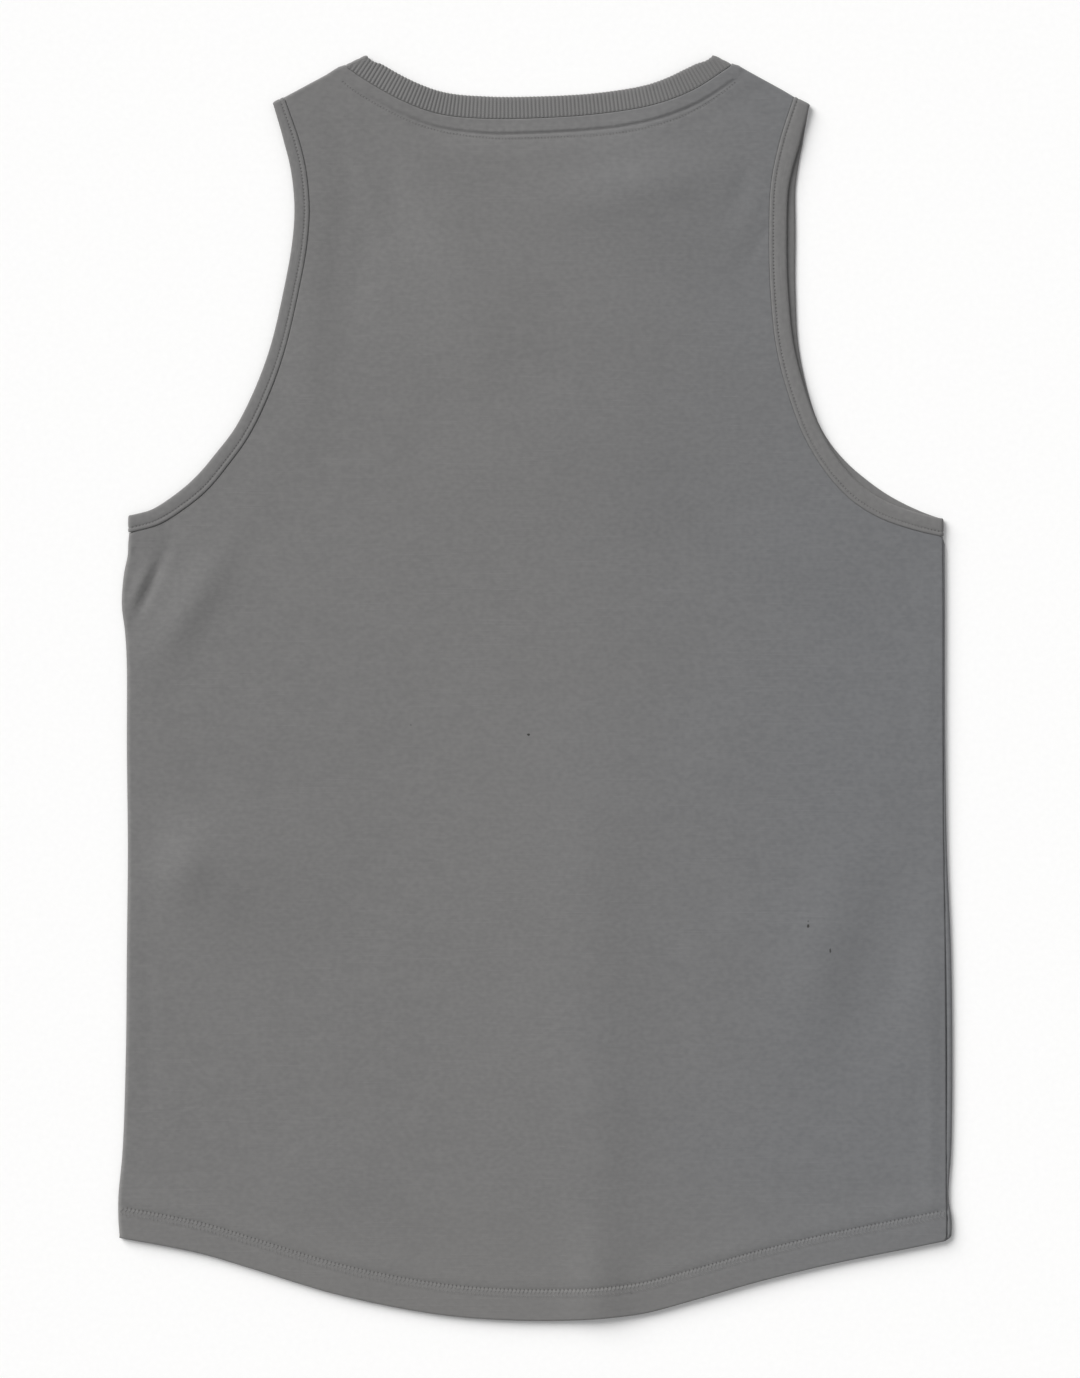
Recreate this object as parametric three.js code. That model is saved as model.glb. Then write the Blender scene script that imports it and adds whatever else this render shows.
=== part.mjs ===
// A tank top laid flat on a table with its back up: the front panel lies face down on the table,
// the back panel lies on it, and the ribbed neckband and the two armhole bands fold round the
// shoulders and the underarms from one panel to the other.
// X runs across the garment, Y up its length and Z up from the table, in millimetres.

import * as THREE from 'three';

// Sizes of the whole garment
const middle = { across: 0.4, up: 389.05 }; // of the garment's outline, for the origin
const clothWall = 1.1; // one layer of jersey
const doubleWall = 2.0; // hems and bands, where the cloth is folded on itself
const seamGap = 0.3; // between two pieces at a seam, and between cloth that lies on cloth

// Sizes of the edges
const hemDepth = 19;
const hemEase = 36; // the back eases down from its thick hem over this width
const furrowDepth = 0.35; // the hem's stitching pulls the cloth in above the hem
const furrowWidth = 2.4; // half width
const stripWidth = 5.5; // the neck seam's turnings lift a strip of the back below the neckband
const stripRise = 0.5;
const stripEase = 2;
const shoulderStrip = 0.4; // part of the strip's rise that is left at the shoulders
const edgeRoll = 2; // the panels round off over this width at the sides and shoulders
const edgeShelf = 5; // flat width of the thick rims of both panels
const rimEase = 16; // the back eases down from its thick rims over this width
const frontRimEase = 3; // and the front from its own over this one
const neckbandShelf = 1; // flat width of the back on each side of the front's neckband

// Sizes of the neckband
const ribPitch = 2.43;
const ribHeight = 0.35;
const neckWidth = 14;
const neckSag = 1.9; // the back neckband sinks this far to the table between the shoulders
const neckSagFrom = 42; // half width of the stretch that lies lowest
const neckSagRise = 48; // and width over which it rises to the shoulders
const neckSagEase = 24; // the back panel follows the neckband over this width

// Heights above the table
const upperBand = doubleWall + seamGap; // underside of the bands and hem of the back
const upperCloth = clothWall + seamGap; // lowest underside of the back panel
const foldRadius = (doubleWall + seamGap) / 2; // mid wall of a band where it turns over
const foldHeight = upperBand - seamGap / 2;
const panelOverFold = foldRadius + clothWall / 2; // the panels reach this far over the folds' lines
const crown = 1.1; // loose air between the two panels

// The sides of the back, from the hem up: height above the hem's lowest point, where the left
// and the right edge stand, and how far the front shows past the back on each side.
const sideRows = [
  { up: 53, left: -255.3, right: 253.6, leftPeek: -0.9, rightPeek: 2.8 },
  { up: 72, left: -256.2, right: 253.4, leftPeek: -0.9, rightPeek: 3.0 },
  { up: 106, left: -253.4, right: 253.2, leftPeek: -0.9, rightPeek: 3.4 },
  { up: 167, left: -251.4, right: 253.0, leftPeek: -0.9, rightPeek: 4.1 },
  { up: 229, left: -250.8, right: 252.6, leftPeek: -0.9, rightPeek: 3.6 },
  { up: 290, left: -250.2, right: 251.7, leftPeek: -0.9, rightPeek: 2.0 },
  { up: 352, left: -250.8, right: 251.3, leftPeek: -0.9, rightPeek: 1.4 },
  { up: 407, left: -250.9, right: 251.3, leftPeek: -0.9, rightPeek: 1.2 },
  { up: 425, left: -252.0, right: 251.3, leftPeek: -0.9, rightPeek: 1.2 },
  { up: 441, left: -253.9, right: 251.3, leftPeek: -0.9, rightPeek: 1.2 },
  { up: 462, left: -252.9, right: 251.2, leftPeek: -0.9, rightPeek: 1.2 },
  { up: 476, left: -251.0, right: 251.1, leftPeek: -0.9, rightPeek: 1.2 },
];

// The hem's edge, from left to right: place across, and height above its lowest point.
const hemRows = [
  { across: -255.3, up: 51.9 },
  { across: -220, up: 45.4 },
  { across: -201, up: 41.1 },
  { across: -173, up: 32.7 },
  { across: -120, up: 16.7 },
  { across: -60, up: 3.6 },
  { across: -18, up: -0.3 },
  { across: 22, up: -0.4 },
  { across: 47, up: 1.2 },
  { across: 68, up: 4.4 },
  { across: 100, up: 14 },
  { across: 139, up: 24.8 },
  { across: 182, up: 34.4 },
  { across: 225, up: 43.1 },
  { across: 253.6, up: 50.1 },
];

// The back's armhole seams, from the underarm to the shoulder: place across, height, width of
// the band there, and how far the front's armhole shows past the back's.
const leftArmholeRows = [
  { across: -247.8, up: 485.6, width: 10.6, peek: 0 },
  { across: -231.5, up: 490.2, width: 10.2, peek: -1 },
  { across: -216.2, up: 499.4, width: 10.4, peek: -2 },
  { across: -201.4, up: 511.4, width: 10.8, peek: -3 },
  { across: -187.3, up: 528.3, width: 10.4, peek: -3 },
  { across: -175.6, up: 544.9, width: 9.8, peek: -3 },
  { across: -163.3, up: 570.1, width: 9.4, peek: -3 },
  { across: -153.4, up: 597.8, width: 9.2, peek: -3 },
  { across: -144.8, up: 634.7, width: 9.2, peek: -3 },
  { across: -139.9, up: 662.4, width: 9.2, peek: -2.5 },
  { across: -138.4, up: 685.1, width: 9.2, peek: -2 },
  { across: -140.5, up: 708.5, width: 9.2, peek: -1.2 },
  { across: -144.8, up: 726.9, width: 9.3, peek: -0.5 },
  { across: -153.4, up: 751.5, width: 7.8, peek: 0 },
];
const rightArmholeRows = [
  { across: 249.5, up: 483.1, width: 11.2, peek: 0 },
  { across: 232.8, up: 487.1, width: 10.9, peek: 1.6 },
  { across: 211.9, up: 494.5, width: 10.9, peek: 4.2 },
  { across: 195.3, up: 504.9, width: 10.9, peek: 5 },
  { across: 181.1, up: 519.7, width: 10.9, peek: 3.6 },
  { across: 169.7, up: 536.9, width: 10.8, peek: 2.6 },
  { across: 161.4, up: 554.7, width: 10.8, peek: 1.6 },
  { across: 149.4, up: 595.3, width: 10.8, peek: 2.8 },
  { across: 145.1, up: 633.5, width: 10.8, peek: 4.7 },
  { across: 144.2, up: 669.1, width: 10.8, peek: 5.6 },
  { across: 145.4, up: 699.9, width: 10.9, peek: 4.4 },
  { across: 151, up: 726.9, width: 12.2, peek: 2 },
  { across: 159, up: 751.8, width: 11, peek: 0 },
];

// The neck seams of the back and the front, from the left shoulder to the right one.
const backNeckRows = [
  { across: -115.3, up: 771.2, width: neckWidth },
  { across: -103.6, up: 763.2, width: neckWidth },
  { across: -80.9, up: 750.6, width: neckWidth },
  { across: -59, up: 742.9, width: neckWidth },
  { across: -30.4, up: 740, width: neckWidth },
  { across: 3.4, up: 740.4, width: neckWidth - 0.4 },
  { across: 40, up: 743, width: neckWidth - 0.8 },
  { across: 74.1, up: 748.6, width: neckWidth - 0.8 },
  { across: 97.5, up: 757.4, width: neckWidth },
  { across: 120.2, up: 771.8, width: neckWidth - 1.5 },
];
const frontNeckRows = [
  { across: -115.3, up: 771.2, width: neckWidth },
  { across: -113, up: 748, width: neckWidth },
  { across: -105, up: 712, width: neckWidth },
  { across: -91, up: 676, width: neckWidth },
  { across: -68, up: 643, width: neckWidth },
  { across: -36, up: 621, width: neckWidth },
  { across: 3, up: 614, width: neckWidth },
  { across: 42, up: 621, width: neckWidth },
  { across: 74, up: 643, width: neckWidth },
  { across: 97, up: 676, width: neckWidth },
  { across: 111, up: 712, width: neckWidth },
  { across: 118.5, up: 748, width: neckWidth },
  { across: 120.2, up: 771.8, width: neckWidth - 1.5 },
];

// The four lines that the bands turn over: direction from seam to free edge, and outwards.
const folds = {
  leftUnderarm: { toEdge: [0, 1], outward: [-1, 0] },
  rightUnderarm: { toEdge: [0, 1], outward: [1, 0] },
  leftShoulder: { toEdge: [-0.9, -0.436], outward: [-0.436, 0.9] },
  rightShoulder: { toEdge: [0.892, -0.452], outward: [0.452, 0.892] },
  leftNeck: { toEdge: [0.9, 0.436], outward: [-0.436, 0.9] },
  rightNeck: { toEdge: [-0.892, 0.452], outward: [0.452, 0.892] },
};

// The largest soft folds of the back: middle, turn of the long way from X in degrees, half
// length, half width, and rise of the ridge, or fall of the trough where it is negative.
const softFolds = [
  { across: -112, up: 662, turn: 82, half: 46, wide: 17, rise: -0.9 },
  { across: -58, up: 682, turn: -68, half: 60, wide: 21, rise: 1.0 },
  { across: 66, up: 692, turn: 14, half: 56, wide: 17, rise: 1.1 },
  { across: -3, up: 606, turn: 8, half: 60, wide: 26, rise: 0.6 },
  { across: 78, up: 612, turn: -32, half: 60, wide: 22, rise: 0.5 },
  { across: -238, up: 459, turn: 68, half: 25, wide: 6, rise: -1.5 },
  { across: -211, up: 441, turn: 58, half: 38, wide: 12, rise: 1.6 },
  { across: -216, up: 279, turn: 86, half: 24, wide: 13, rise: 1.2 },
  { across: 34, up: 268, turn: 91, half: 105, wide: 24, rise: 0.5 },
  { across: 38, up: 106, turn: 91, half: 100, wide: 21, rise: 1.0 },
  { across: 40, up: 18, turn: 92, half: 30, wide: 16, rise: 0.9 },
  { across: 180, up: 230, turn: 76, half: 42, wide: 15, rise: 0.7 },
  { across: 215, up: 208, turn: 80, half: 50, wide: 14, rise: -1.0 },
  { across: 182, up: 468, turn: -36, half: 34, wide: 13, rise: 0.8 },
  { across: -126, up: 88, turn: 18, half: 42, wide: 24, rise: 0.5 },
];

// Stations of the panels' grids
const rimStations = [0, 2, 8, 17, 27]; // distances in from the sides and armholes
const hemStations = [0, 1.5, hemDepth - 0.1, hemDepth + 1, hemDepth + 5]; // distances up from the hem
const shoulderStations = [14, stripWidth + 2.5, stripWidth, edgeRoll]; // distances down an armhole
const frontShoulderStations = [12, edgeRoll];
const backCounts = { side: 12, armhole: 17, inner: 20 };
const frontCounts = { side: 6, armhole: 16, inner: 14 };
const frontSplitUp = 645; // the front's straps start above this height
const frontNeckSide = 0.3; // part of the front neck seam that is one side of the neck
const strapInsets = [0, 2, 8]; // stations of the front's straps: distances in from the armhole
const strapParts = [0.35, 0.65, 1]; // and parts of the way to the neck

const { clamp, degToRad, lerp, smoothstep } = THREE.MathUtils;

// 1 at nothing, 0 from width on
const ease = (distance, width) => 1 - smoothstep(distance, 0, width);

// The larger of two heights, with a soft change from one to the other
const softMaxBlend = 0.35;
const softMax = (a, b) => (a + b + Math.hypot(a - b, softMaxBlend)) / 2;

// A seam through the rows of a table. freeSide is 1 where its band lies to the left of its run.
function makeSeam(rows, freeSide) {
  const points = rows.map((row) => new THREE.Vector3(row.across, row.up, 0));
  const curve = new THREE.CatmullRomCurve3(points, false, 'centripetal');
  curve.arcLengthDivisions = 400;
  const widthAt = (u) => {
    const place = curve.getUtoTmapping(u) * (rows.length - 1);
    const row = Math.min(Math.floor(place), rows.length - 2);
    return lerp(rows[row].width, rows[row + 1].width, place - row);
  };
  const at = (u) => {
    const point = curve.getPointAt(u);
    const run = curve.getTangentAt(u);
    const toEdge = new THREE.Vector2(-run.y * freeSide, run.x * freeSide);
    return { x: point.x, y: point.y, toEdge, width: widthAt(u) };
  };
  return { at, length: curve.getLength() };
}

// The front's seam: the back's, moved out by how far it shows.
function frontSeamOf(rows, seam, freeSide) {
  const moved = rows.map((row) => {
    const u = nearestOn(seam, row.across, row.up);
    const { toEdge } = seam.at(u);
    const across = row.across + toEdge.x * row.peek;
    const up = row.up + toEdge.y * row.peek;
    return { ...row, across, up };
  });
  return makeSeam(moved, freeSide);
}

// The part of a seam's length that is nearest to a place
function nearestOn(seam, x, y) {
  const steps = 200;
  let best = 0;
  let least = Infinity;
  for (let k = 0; k <= steps; k += 1) {
    const { x: px, y: py } = seam.at(k / steps);
    const away = Math.hypot(px - x, py - y);
    if (away < least) {
      least = away;
      best = k / steps;
    }
  }
  return best;
}

const leftArmhole = makeSeam(leftArmholeRows, 1);
const rightArmhole = makeSeam(rightArmholeRows, -1);
const backNeck = makeSeam(backNeckRows, 1);
const frontNeck = makeSeam(frontNeckRows, 1);
const frontLeftArmhole = frontSeamOf(leftArmholeRows, leftArmhole, 1);
const frontRightArmhole = frontSeamOf(rightArmholeRows, rightArmhole, -1);
const leftHem = hemRows[0];
const rightHem = hemRows[hemRows.length - 1];

// Rows along the armholes. The front's neck is deep, so its rows stop at the sides of the neck
// from the split row up.
const backLevels = armholeLevels(leftArmhole, backCounts.armhole, shoulderStations);
const frontLevels = armholeLevels(frontLeftArmhole, frontCounts.armhole, frontShoulderStations);
const frontSplit = frontLevels.findIndex((level) => frontLeftArmhole.at(level).y > frontSplitUp);
const frontNeckPart = (level) => frontNeckSide * (1 - level) / (1 - frontLevels[frontSplit]);
const frontMiddleParts = [];
for (let k = 1; k < frontCounts.inner; k += 1) {
  frontMiddleParts.push(lerp(frontNeckSide, 1 - frontNeckSide, k / frontCounts.inner));
}

// A line through a column of rows, as a function of its first column
function makeLine(rows, key, value) {
  const points = rows.map((row) => new THREE.Vector3(row[key], row[value], 0));
  const curve = new THREE.CatmullRomCurve3(points, false, 'centripetal');
  const samples = curve.getPoints(300);
  return (place) => {
    const k = samples.findIndex((point) => point.x >= place);
    if (k <= 0) return (k === 0 ? samples[0] : samples[samples.length - 1]).y;
    const part = (place - samples[k - 1].x) / (samples[k].x - samples[k - 1].x);
    return lerp(samples[k - 1].y, samples[k].y, part);
  };
}

const leftSideAt = makeLine(sideRows, 'up', 'left');
const rightSideAt = makeLine(sideRows, 'up', 'right');
const leftPeekAt = makeLine(sideRows, 'up', 'leftPeek');
const rightPeekAt = makeLine(sideRows, 'up', 'rightPeek');
const hemUpAt = makeLine(hemRows, 'across', 'up');

// Points of a line, to measure how far cloth lies from it
const sampled = (at, count) => Array.from({ length: count + 1 }, (_, k) => at(k / count));
const awayFrom = (points, x, y) =>
  points.reduce((least, point) => Math.min(least, Math.hypot(point.x - x, point.y - y)), Infinity);

const seamSamples = 80;
const armholePoints = [leftArmhole, rightArmhole].flatMap((seam) => sampled(seam.at, seamSamples));
const backNeckPoints = sampled(backNeck.at, seamSamples);
const frontNeckbandPoints = sampled((u) => {
  const { x, y, toEdge, width } = frontNeck.at(u);
  return { x: x + (toEdge.x * width) / 2, y: y + (toEdge.y * width) / 2 };
}, seamSamples);

const shoulderCorner = (seam, u, fold) => {
  const { x, y } = seam.at(u);
  const [outX, outY] = folds[fold].outward;
  return new THREE.Vector2(x + outX * panelOverFold, y + outY * panelOverFold);
};
const leftTip = shoulderCorner(leftArmhole, 1, 'leftShoulder');
const rightTip = shoulderCorner(rightArmhole, 1, 'rightShoulder');
const leftNeckPoint = shoulderCorner(backNeck, 0, 'leftNeck');
const rightNeckPoint = shoulderCorner(backNeck, 1, 'rightNeck');

function awayFromShoulders(x, y) {
  const place = new THREE.Vector2(x, y);
  const away = ([from, to]) => {
    const run = to.clone().sub(from);
    const part = clamp(place.clone().sub(from).dot(run) / run.lengthSq(), 0, 1);
    return place.distanceTo(from.clone().addScaledVector(run, part));
  };
  return Math.min(away([leftTip, leftNeckPoint]), away([rightTip, rightNeckPoint]));
}

function awayFromSides(x, y) {
  const top = sideRows[sideRows.length - 1].up;
  const overUnderarm = Math.max(y - top, 0);
  const across = Math.min(x - leftSideAt(y), rightSideAt(y) - x);
  return Math.hypot(Math.max(across, 0), overUnderarm);
}

// Height of the back neckband's underside: on the front at the shoulders, near the table between
const neckbandUnderside = (x) => upperBand - neckSag * ease(Math.abs(x) - neckSagFrom, neckSagRise);

// Rise of the soft folds at a place on the back
function softRise(x, y) {
  return softFolds.reduce((sum, fold) => {
    const turn = degToRad(fold.turn);
    const along = (x - fold.across) * Math.cos(turn) + (y - fold.up) * Math.sin(turn);
    const aside = (y - fold.up) * Math.cos(turn) - (x - fold.across) * Math.sin(turn);
    return sum + fold.rise * Math.exp(-((along / fold.half) ** 2) - (aside / fold.wide) ** 2);
  }, 0);
}

// Underside of the back panel: it lies over the front's thick rims, hem and neckband, sinks to
// the table at the neck, and has loose folds between them.
function backUnderside(x, y, from) {
  const bandStep = upperBand - upperCloth;
  const overRim = bandStep * ease(Math.min(from.armhole, from.shoulder, from.side) - edgeShelf, rimEase);
  const fromNeckband = awayFrom(frontNeckbandPoints, x, y) - neckWidth / 2 - neckbandShelf;
  const overNeckband = bandStep * ease(fromNeckband, rimEase);
  const overHem = (bandStep + doubleWall - clothWall) * ease(from.hem - hemDepth, hemEase);
  const loose = Math.max(crown + softRise(x, y), 0);
  const open = upperCloth + softMax(Math.max(overRim, overNeckband, overHem), loose);
  const hem = upperBand + Math.max(softRise(x, y), 0);
  const neck = neckbandUnderside(x) + (doubleWall - clothWall) / 2;
  return lerp(from.hem < hemDepth ? hem : open, neck, ease(from.neck, neckSagEase));
}

// Underside and outside of the back panel
function backHeights(x, y) {
  const from = {
    armhole: awayFrom(armholePoints, x, y),
    neck: awayFrom(backNeckPoints, x, y),
    shoulder: awayFromShoulders(x, y),
    side: awayFromSides(x, y),
    hem: y - hemUpAt(x),
  };
  const underside = backUnderside(x, y, from);
  const wall = from.hem < hemDepth ? doubleWall : clothWall;
  const atShoulder = from.shoulder > edgeRoll ? 1 : shoulderStrip;
  const strip = stripRise * ease(from.neck - stripWidth, stripEase) * atShoulder;
  const furrow = furrowDepth * ease(Math.abs(from.hem - hemDepth - 1), furrowWidth);
  const roll = ease(Math.min(from.side, from.shoulder), edgeRoll);
  const low = lerp(underside, upperBand, roll);
  const high = lerp(underside + wall + strip - furrow, upperBand + clothWall / 2, roll);
  return { low, high };
}

// Underside and outside of the front panel, which lies flat on the table
function frontHeights(fromEdge, fromHem) {
  const rim = ease(fromEdge - edgeShelf / 2, frontRimEase);
  const high = fromHem < hemDepth ? doubleWall : lerp(clothWall, doubleWall, rim);
  return { low: (doubleWall - clothWall) * ease(fromEdge, edgeRoll), high };
}

// A closed body from its points and faces, with the faces turned outwards
function solid(points, faces) {
  const geometry = new THREE.BufferGeometry();
  const positions = points.flatMap((point) => [point.x, point.y, point.z]);
  const volume = faces.reduce((sum, [a, b, c]) => {
    const across = new THREE.Vector3().crossVectors(points[b], points[c]);
    return sum + points[a].dot(across);
  }, 0);
  const outward = volume > 0 ? faces : faces.map(([a, b, c]) => [a, c, b]);
  geometry.setAttribute('position', new THREE.Float32BufferAttribute(positions, 3));
  geometry.setIndex(outward.flat());
  geometry.computeVertexNormals();
  return geometry;
}

// A wall of cloth over a grid of rows and stations. A place may be missing above a deep neck.
function panelWall(grid, heightsAt) {
  const places = grid.flat().filter(Boolean);
  const order = new Map(places.map((place, k) => [place, k]));
  const count = places.length;
  const heights = places.map(heightsAt);
  const points = [
    ...places.map(({ x, y }, k) => new THREE.Vector3(x, y, heights[k].high)),
    ...places.map(({ x, y }, k) => new THREE.Vector3(x, y, heights[k].low)),
  ];
  const faces = [];
  const edges = new Set();
  for (let r = 0; r < grid.length - 1; r += 1) {
    for (let s = 0; s < grid[r].length - 1; s += 1) {
      const cell = [grid[r][s], grid[r][s + 1], grid[r + 1][s + 1], grid[r + 1][s]];
      if (!cell.every(Boolean)) continue;
      const [a, b, c, d] = cell.map((place) => order.get(place));
      faces.push([a, b, c], [a, c, d]);
      faces.push([a + count, c + count, b + count], [a + count, d + count, c + count]);
      [[a, b], [b, c], [c, d], [d, a]].forEach(([from, to]) => edges.add(`${from} ${to}`));
    }
  }
  for (const edge of edges) {
    const [from, to] = edge.split(' ').map(Number);
    if (edges.has(`${to} ${from}`)) continue;
    faces.push([from, from + count, to + count], [from, to + count, to]);
  }
  return solid(points, faces);
}

// Places along an armhole, from 0 at the underarm to 1 at the shoulder, where a panel's rows end
function armholeLevels(seam, steps, tipStations) {
  const last = 1 - tipStations[0] / seam.length;
  const even = Array.from({ length: steps }, (_, k) => (last * (k + 1)) / steps);
  return [...even, ...tipStations.slice(1).map((fromTip) => 1 - fromTip / seam.length)];
}

// A panel's corner under the arm: its armhole's first stretch, drawn on over the band's fold
function underarmCorner(seam, level) {
  const start = new THREE.Vector2(seam.at(0).x, seam.at(0).y);
  const next = new THREE.Vector2(seam.at(level).x, seam.at(level).y);
  return start.addScaledVector(start.clone().sub(next).normalize(), panelOverFold);
}

// The two ends of each row of a panel up to its underarms and along its armholes
function rowEnds(edges, levels) {
  const leftStart = underarmCorner(edges.left, levels[0]);
  const rightStart = underarmCorner(edges.right, levels[0]);
  const leftRun = leftStart.y - leftHem.up;
  const lastHem = hemStations[hemStations.length - 1];
  const rises = hemStations.map((rise) => rise / leftRun);
  for (let k = 1; k < edges.sideSteps; k += 1) {
    rises.push(lerp(lastHem / leftRun, 1, k / edges.sideSteps));
  }
  const ends = rises.map((rise) => {
    const leftUp = lerp(leftHem.up, leftStart.y, rise);
    const rightUp = lerp(rightHem.up, rightStart.y, rise);
    return [{ x: edges.leftSide(leftUp), y: leftUp }, { x: edges.rightSide(rightUp), y: rightUp }];
  });
  ends.push([leftStart, rightStart]);
  levels.forEach((level) => ends.push([edges.left.at(level), edges.right.at(level)]));
  return ends;
}

// Rows between the left and right edges of a panel, bent to the hem below and to the top row
// above. Each station has its place in the top row, and its distance in from an edge or else its
// part of the way across.
function bentRows(ends, stations) {
  const [leftTop, rightTop] = ends[ends.length - 1];
  return ends.map(([left, right]) => {
    const level = clamp((left.y - leftHem.up) / (leftTop.y - leftHem.up), 0, 1);
    const toTop = level ** 2;
    const toHem = (1 - level) ** 2;
    return stations.map(({ top, at }) => {
      const part = at(right.x - left.x);
      const topPart = at(rightTop.x - leftTop.x);
      const across = lerp(leftHem.across, rightHem.across, part);
      const hang = hemUpAt(across) - lerp(leftHem.up, rightHem.up, part);
      const shiftX = top.x - lerp(leftTop.x, rightTop.x, topPart);
      const shiftY = top.y - lerp(leftTop.y, rightTop.y, topPart);
      return {
        x: lerp(left.x, right.x, part) + toTop * shiftX,
        y: lerp(left.y, right.y, part) + toTop * shiftY + toHem * hang,
      };
    });
  });
}

const fromLeft = (inset, top) => ({ top, at: (width) => inset / width });
const fromRight = (inset, top) => ({ top, at: (width) => 1 - inset / width });

function backPanel() {
  const shoulder = leftTip.distanceTo(leftNeckPoint);
  const seamEnd = shoulder + panelOverFold;
  const onShoulder = (tip, neckPoint) => (inset) => tip.clone().lerp(neckPoint, inset / shoulder);
  const onLeft = onShoulder(leftTip, leftNeckPoint);
  const onRight = onShoulder(rightTip, rightNeckPoint);
  const insets = [...rimStations, shoulder];
  const stations = insets.map((inset) => fromLeft(inset, onLeft(inset)));
  for (let k = 0; k <= backCounts.inner; k += 1) {
    const part = k / backCounts.inner;
    const at = (width) => lerp(seamEnd / width, 1 - seamEnd / width, part);
    stations.push({ top: backNeck.at(part), at });
  }
  insets.reverse().forEach((inset) => stations.push(fromRight(inset, onRight(inset))));

  const edges = { left: leftArmhole, right: rightArmhole, leftSide: leftSideAt, rightSide: rightSideAt };
  const ends = rowEnds({ ...edges, sideSteps: backCounts.side }, backLevels);
  ends.push([leftTip, rightTip]);
  return panelWall(bentRows(ends, stations), ({ x, y }) => backHeights(x, y));
}

// A row of one of the front's straps, from the armhole to the side of the neck
function strapRow(outer, inner) {
  const width = Math.hypot(inner.x - outer.x, inner.y - outer.y);
  const parts = [...strapInsets.map((inset) => inset / width), ...strapParts];
  return parts.map((part) => ({ x: lerp(outer.x, inner.x, part), y: lerp(outer.y, inner.y, part) }));
}

function frontPanel() {
  const below = frontLevels.slice(0, frontSplit + 1);
  const above = frontLevels.slice(frontSplit + 1);
  const splitLevel = frontLevels[frontSplit];
  const leftStrap = strapRow(frontLeftArmhole.at(splitLevel), frontNeck.at(frontNeckSide));
  const rightStrap = strapRow(frontRightArmhole.at(splitLevel), frontNeck.at(1 - frontNeckSide));
  const lowNeck = frontMiddleParts.map((part) => frontNeck.at(part));
  const topRow = [...leftStrap, ...lowNeck, ...[...rightStrap].reverse()];
  const [leftEnd, rightEnd] = [topRow[0], topRow[topRow.length - 1]];
  const stations = topRow.map((top, k) => {
    const turn = topRow.length - 1 - k;
    if (k < strapInsets.length) return fromLeft(strapInsets[k], top);
    if (turn < strapInsets.length) return fromRight(strapInsets[turn], top);
    return { top, at: () => (top.x - leftEnd.x) / (rightEnd.x - leftEnd.x) };
  });

  const leftSide = (up) => leftSideAt(up) - leftPeekAt(up);
  const rightSide = (up) => rightSideAt(up) + rightPeekAt(up);
  const edges = { left: frontLeftArmhole, right: frontRightArmhole, leftSide, rightSide };
  const ends = rowEnds({ ...edges, sideSteps: frontCounts.side }, below);
  const grid = bentRows(ends, stations);
  const open = lowNeck.map(() => null);
  const addStraps = (left, right) => grid.push([...left, ...open, ...right.reverse()]);
  [...above, 1].forEach((level) => {
    const neckPart = frontNeckPart(level);
    addStraps(
      strapRow(frontLeftArmhole.at(level), frontNeck.at(neckPart)),
      strapRow(frontRightArmhole.at(level), frontNeck.at(1 - neckPart)),
    );
  });
  addStraps(strapRow(leftTip, leftNeckPoint), strapRow(rightTip, rightNeckPoint));

  return panelWall(grid, ({ x, y }) => {
    const across = Math.min(x - leftSide(y), rightSide(y) - x);
    const overUnderarm = Math.max(y - sideRows[sideRows.length - 1].up, 0);
    const fromSide = Math.hypot(Math.max(across, 0), overUnderarm);
    return frontHeights(Math.min(fromSide, awayFromShoulders(x, y)), y - hemUpAt(x));
  });
}

// The cross-section of a band: place from the seam to the free edge, and place through its wall
// from the inside to the outside.
const bandSection = [
  { across: 0, through: 0.3 },
  { across: 0.12, through: 0.5 },
  { across: 0.88, through: 0.5 },
  { across: 1, through: 0.2 },
  { across: 1, through: -0.2 },
  { across: 0.9, through: -0.5 },
  { across: 0, through: -0.5 },
];
const turnSteps = 4; // steps of a half turn over a fold
const foldBlend = 22; // a band's sections turn to the line of the fold over this length

// Places on a seam at given parts of its length, with the seam straight between the stations of
// its panel
function seamPlaces(seam, parts, stations) {
  return parts.map((u) => {
    const next = stations.findIndex((station) => station >= u - 1e-9);
    if (next <= 0) return { ...seam.at(u), u };
    const [from, to] = [stations[next - 1], stations[next]];
    const [start, end] = [seam.at(from), seam.at(to)];
    const part = (u - from) / (to - from);
    return { ...seam.at(u), x: lerp(start.x, end.x, part), y: lerp(start.y, end.y, part), u };
  });
}

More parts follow.
